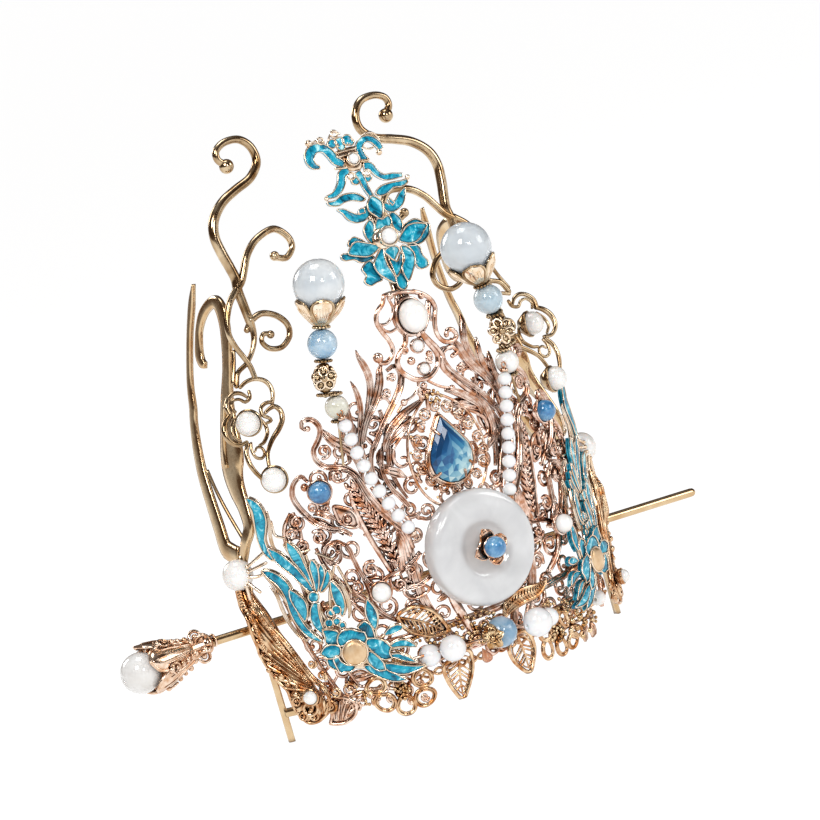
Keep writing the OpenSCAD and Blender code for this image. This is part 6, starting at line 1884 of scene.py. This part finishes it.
horn = [(250.8, 527, 4.5), (245.5, 506.6, 5.4), (238, 486, 8), (234.2, 468.9, 10), (233.2, 450.5, 11), (230.5, 425, 8), (229, 400, 5.5), (229.4, 370, 4.1), (228.5, 345, 4.1), (226.5, 325, 4.3),
        (222.5, 309, 5), (216.6, 301.7, 6.4), (209.5, 306.5, 4.8), (204, 316.5, 3.7), (201.2, 330, 2.7), (200.8, 342, 2.7), (201.4, 354.6, 3.2), (204, 362.5, 3.4), (207.5, 365.2, 2.6)]
rowsh = fit_rows(S_HORN, horn)
spk = [(195.5, 284, .3), (193.6, 305, 2.4), (191.8, 335, 2.1), (191.6, 367, 2.1), (192.5, 388, 2.3), (195, 408, 2.8), (196, 425, 2.9), (199.8, 452, 3.6), (204.9, 476, 4.1), (212.5, 501.5, 4.6), (220.7, 527, 5.1), (227.3, 547.4, 5.4)]
rowss = fit_rows(S_HORN, spk)
FLAT = [(-1, 0), (-1, .8), (-.9, 1.15), (-.5, 1.22), (0, 1.25), (.5, 1.22), (.9, 1.15), (1, .8), (1, 0)]
strap(Q, [[-51.6, -5.8, 52, 1.9], [-51.0, -9.0, 56.4, 2.0]] + rowsh, nh, FLAT, 1.0, 0, step=1.0, scale_t=False)
strap(Q, rowss + [[-51.4, 0.4, 53.2, 2.6], [-51.5, -3.8, 52.6, 2.2]], nh, FLAT, 1.0, 0, step=1.2, scale_t=False)
# a fold along the inner edge of the broad part, and the fine strip between the two
strap(Q, px_rows(S_HORN, [(225.5, 405, .8), (224.5, 430, 2), (225, 452, 2.4), (227.5, 468, 1.6)], lift=1.1), nh, "dome", 0.7, 0, step=1.2, scale_t=False)
strap(Q, px_rows(S_HORN, [(208.5, 470, 1.0), (217.7, 491.3, 1.4), (228.9, 512.8, 1.6), (242, 535.2, 1.8), (250, 549, 2)], lift=0.1), nh, "dome", 0.9, 0, step=1.2, scale_t=False)
OUT = np.array([-1.0, 0, 0])


bar = [[-50.9, -12.8, 8.6, 1.2], [-52.4, -10.9, 8.6, 1.2], [-54.2, -8.8, 8.6, 1.2]]
strap(Q, bar, lambda p: unit(np.array([-1.0, -0.9, 0])), "flat", 1.2, 0, step=1.5, scale_t=False)
PX = np.array([math.cos(math.radians(3.1)), 0, -math.sin(math.radians(3.1))])
PZ = np.array([math.sin(math.radians(3.1)), 0, math.cos(math.radians(3.1))])
PO = np.array([0, -7.5, 30.0])


def pin(x, y=0.0, z=0.0):
    return PO + PX * x + np.array([0, y, 0]) + PZ * z


ring_prof = [(1.68, -0.7), (1.9, -0.95), (2.4, -0.95), (2.65, -0.6), (2.65, 0.6), (2.4, 0.95), (1.9, 0.95), (1.68, 0.7), (1.68, -0.7)]
Q2 = Q.mirror()
# end posts, open where the pin passes through the eyelet
for M_, sx, zc in ((Q, -1, 32.96), (Q2, 1, 27.04)):
    side_n = np.array([1.0 * sx, 0, 0])
    strap(M_, [[sx * 51.6, -5.2, 52.6, 1.8], [sx * 52.5, -6.2, 46, 1.7], [sx * 54.0, -7.5, 39.5, 1.3], [sx * 54.0, -7.7, zc + 2.0, 1.3]], lambda p: side_n, "dome", 1.4, 0, step=1.5, scale_t=False)
    strap(M_, [[sx * 54.0, -7.7, zc - 2.0, 1.3], [sx * 54.0, -7.7, 14, 1.3], [sx * 54.0, -7.7, 0.3, 1.3]], lambda p: side_n, "dome", 1.4, 0, step=1.5, scale_t=False)
lathe(Q, pin(-54.78), PX, ring_prof, 28)
lathe(Q2, pin(54.78), PX, ring_prof, 28)
Q.make("horn_frame_left", [CHAMP], "crown", "champagne_gold", ["side_frame_L"])
Q2.make("horn_frame_right", [CHAMP], "crown", "champagne_gold", ["side_frame_R"])

# ---------------------------------------------------------------- hairpin
P = Mesh()
NECK, TILT, HEAD = -71.4, math.radians(6.5), 20.2
lathe(P, PO, PX, [(0, -73.9), (1.2, -73.8), (1.25, -73.2), (1.25, 88.4), (1.15, 89.3), (0.8, 89.8), (0, 90)], 24, 0)
HX = -(PX * math.cos(TILT) + PZ * math.sin(TILT))      # from the neck towards the end bead
HZ = unit(np.cross(HX, [0, 1.0, 0])) * -1
HZ = HZ if HZ[2] > 0 else -HZ
HN = pin(NECK)
# bell-shaped cap, hollow towards the bead, with five broad petals
cap = smooth_prof([(2.2, -0.6), (2.5, 1.6), (3.3, 5.0), (4.6, 9.0), (5.8, 12.8), (6.3, 15.4)], 0.7)
inner = [(r - 0.5, h) for r, h in cap[::-1]]
lathe(P, HN, HX, cap + inner + [cap[0]], 44, 1)
lathe(P, HN, HX, smooth_prof([(0, -2.1), (1.6, -2.0), (2.7, -1.2), (2.9, -0.1), (2.4, 1.0), (1.2, 2.4), (0, 2.6)], 0.4), 28, 1)
YA = np.array([0, 1.0, 0])


def cap_pt(h, w, lift=0.0):
    """A point on the cap: h from the neck, w round it."""
    rr = np.interp(h, [c[1] for c in cap], [c[0] for c in cap]) + lift
    return HN + HX * h + YA * rr * math.cos(w) + HZ * rr * math.sin(w)


petal_ring(P, HN, HX, YA, HZ, [(3.0, 4.2), (3.9, 7.0), (5.0, 10.4), (6.0, 13.6), (6.6, 16.6), (6.9, 19.2)], 5, math.radians(37), -2.3, 1, 0.46, 0.4, (-0.5, 0, 0.5), 0.5, 0.26)
for q in range(5):
    w0 = -2.3 + 2 * math.pi * (q + 0.5) / 5
    for h_, r_ in ((6.2, 0.8), (8.2, 0.65), (10.2, 0.8), (12.3, 0.65), (14.4, 0.8)):
        ball(P, cap_pt(h_, w0, 0.75), r_, 1, 9, 7)
    tube(P, [cap_pt(12.8 + 1.3 * math.sin(t_), w0 + 0.22 * math.cos(t_), 1.0) for t_ in np.linspace(0, 2 * math.pi, 10, endpoint=False)], 0.34, k=7, mat=1, closed=True, step=1e9)
for q in range(6):
    w0 = math.pi / 3 * q + 0.2
    d_ = YA * math.cos(w0) + HZ * math.sin(w0)
    c_ = HN + HX * 1.6 + d_ * 2.9
    t_ = [c_ + (HX * math.cos(a_) + d_ * math.sin(a_)) * 1.65 for a_ in np.linspace(0, 2 * math.pi, 12, endpoint=False)]
    tube(P, t_, 0.5, k=7, mat=1, closed=True, step=1e9)
    ball(P, c_, 0.9, 1, 9, 7)
    ball(P, HN + HX * 4.6 + d_ * 3.1, 0.85, 1, 9, 7)
torus(P, HN - HX * 2.9, HX, 1.55, 0.4, 24, 8, 1)
P.make("hairpin_rod", [CHAMP, PIN_GOLD], "hairpin", "champagne_gold", ["pin_rod"])
PB = Mesh()
drilled(PB, HN + HX * HEAD, 5.66, HX, 0.6, seg=44, rings=24, seed=4, squash=0.995)
PB.make("hairpin_bead", [PIN_JADE], "hairpin", "milk_jade", ["pin_bead"])

# ---------------------------------------------------------------- floor, light, camera


def flat_mat(name, col, rough, glow):
    mat, nt, bs = new_mat(name)
    v = coords(nt)
    nt.links.new(ramp(nt, noise(nt, v, 3, 2), [(0.3, col), (0.7, tuple(min(1, c * 1.01) for c in col))]), bs.inputs["Base Color"])
    bs.inputs["Roughness"].default_value = rough
    bs.inputs["Specular IOR Level"].default_value = 0.1
    bs.inputs["Emission Color"].default_value = (1, 1, 1, 1)
    bs.inputs["Emission Strength"].default_value = glow
    return mat


me = bpy.data.meshes.new("floor")
S = 120.0
z0 = CAD_LO.z - 0.0004
me.from_pydata([(-S, -S, z0), (S, -S, z0), (S, S, z0), (-S, S, z0)], [], [(0, 1, 2, 3)])
me.materials.append(flat_mat("floor_white", (0.16, 0.16, 0.16), 0.9, 0.965))
floor = bpy.data.objects.new("floor", me)
bpy.context.scene.collection.objects.link(floor)

world = bpy.data.worlds.new("studio")
bpy.context.scene.world = world
world.use_nodes = True
nt = world.node_tree
nt.nodes.clear()
wo = nt.nodes.new("ShaderNodeOutputWorld")
bg = nt.nodes.new("ShaderNodeBackground")
tc = nt.nodes.new("ShaderNodeTexCoord")
sep = nt.nodes.new("ShaderNodeSeparateXYZ")
nt.links.new(tc.outputs["Generated"], sep.inputs[0])
# bright towards the horizon, greyer overhead with a lighter patch, so that metal has something to mirror
nt.links.new(ramp(nt, spread(nt, sep.outputs["Z"], 0, 1, -0.05, 1.0), [(0.0, (1, 1, 1)), (0.063, (1, 1, 1)), (0.09, (0.34, 0.34, 0.34)), (0.15, (0.115, 0.08, 0.06)), (0.6, (0.058, 0.04, 0.03)), (1.0, (0.3, 0.3, 0.31))]), bg.inputs["Color"])
bg.inputs["Strength"].default_value = 1.0
nt.links.new(bg.outputs[0], wo.inputs[0])


def area(name, loc, aim, size, power, col=(1, 1, 1), ratio=1.0):
    d = bpy.data.lights.new(name, "AREA")
    d.shape = "RECTANGLE"
    d.size, d.size_y = size, size * ratio
    d.energy = power
    d.color = col
    o = bpy.data.objects.new(name, d)
    bpy.context.scene.collection.objects.link(o)
    o.location = loc
    o.rotation_euler = (Vector(aim) - Vector(loc)).to_track_quat("-Z", "Y").to_euler()
    return o


AIM = (0, 0, 0.07)
area("key", (-0.8, -0.7, 0.95), AIM, 0.45, 8.0)
area("front", (-0.15, -1.1, 0.5), AIM, 0.25, 2.4)
area("fill", (0.85, -0.7, 0.45), AIM, 0.5, 3.0)
area("top", (0.05, 0.05, 1.2), AIM, 0.5, 3.2)
area("rim", (-0.3, 0.9, 0.6), AIM, 0.4, 3)

cam = bpy.data.cameras.new("camera")
co = bpy.data.objects.new("camera", cam)
bpy.context.scene.collection.objects.link(co)
bpy.context.scene.camera = co
X = CR * RV - SR * UV
Y = SR * RV + CR * UV
m = Matrix.Identity(4)
for i in range(3):
    m[i][0], m[i][1], m[i][2] = X[i], Y[i], BV[i]
    m[i][3] = EYE[i] / 1000
co.matrix_world = m
cam.sensor_width = 36
cam.lens = FPX * 36 / 820
cam.clip_start, cam.clip_end = 0.05, 400
bpy.context.scene.view_settings.view_transform = "Standard"
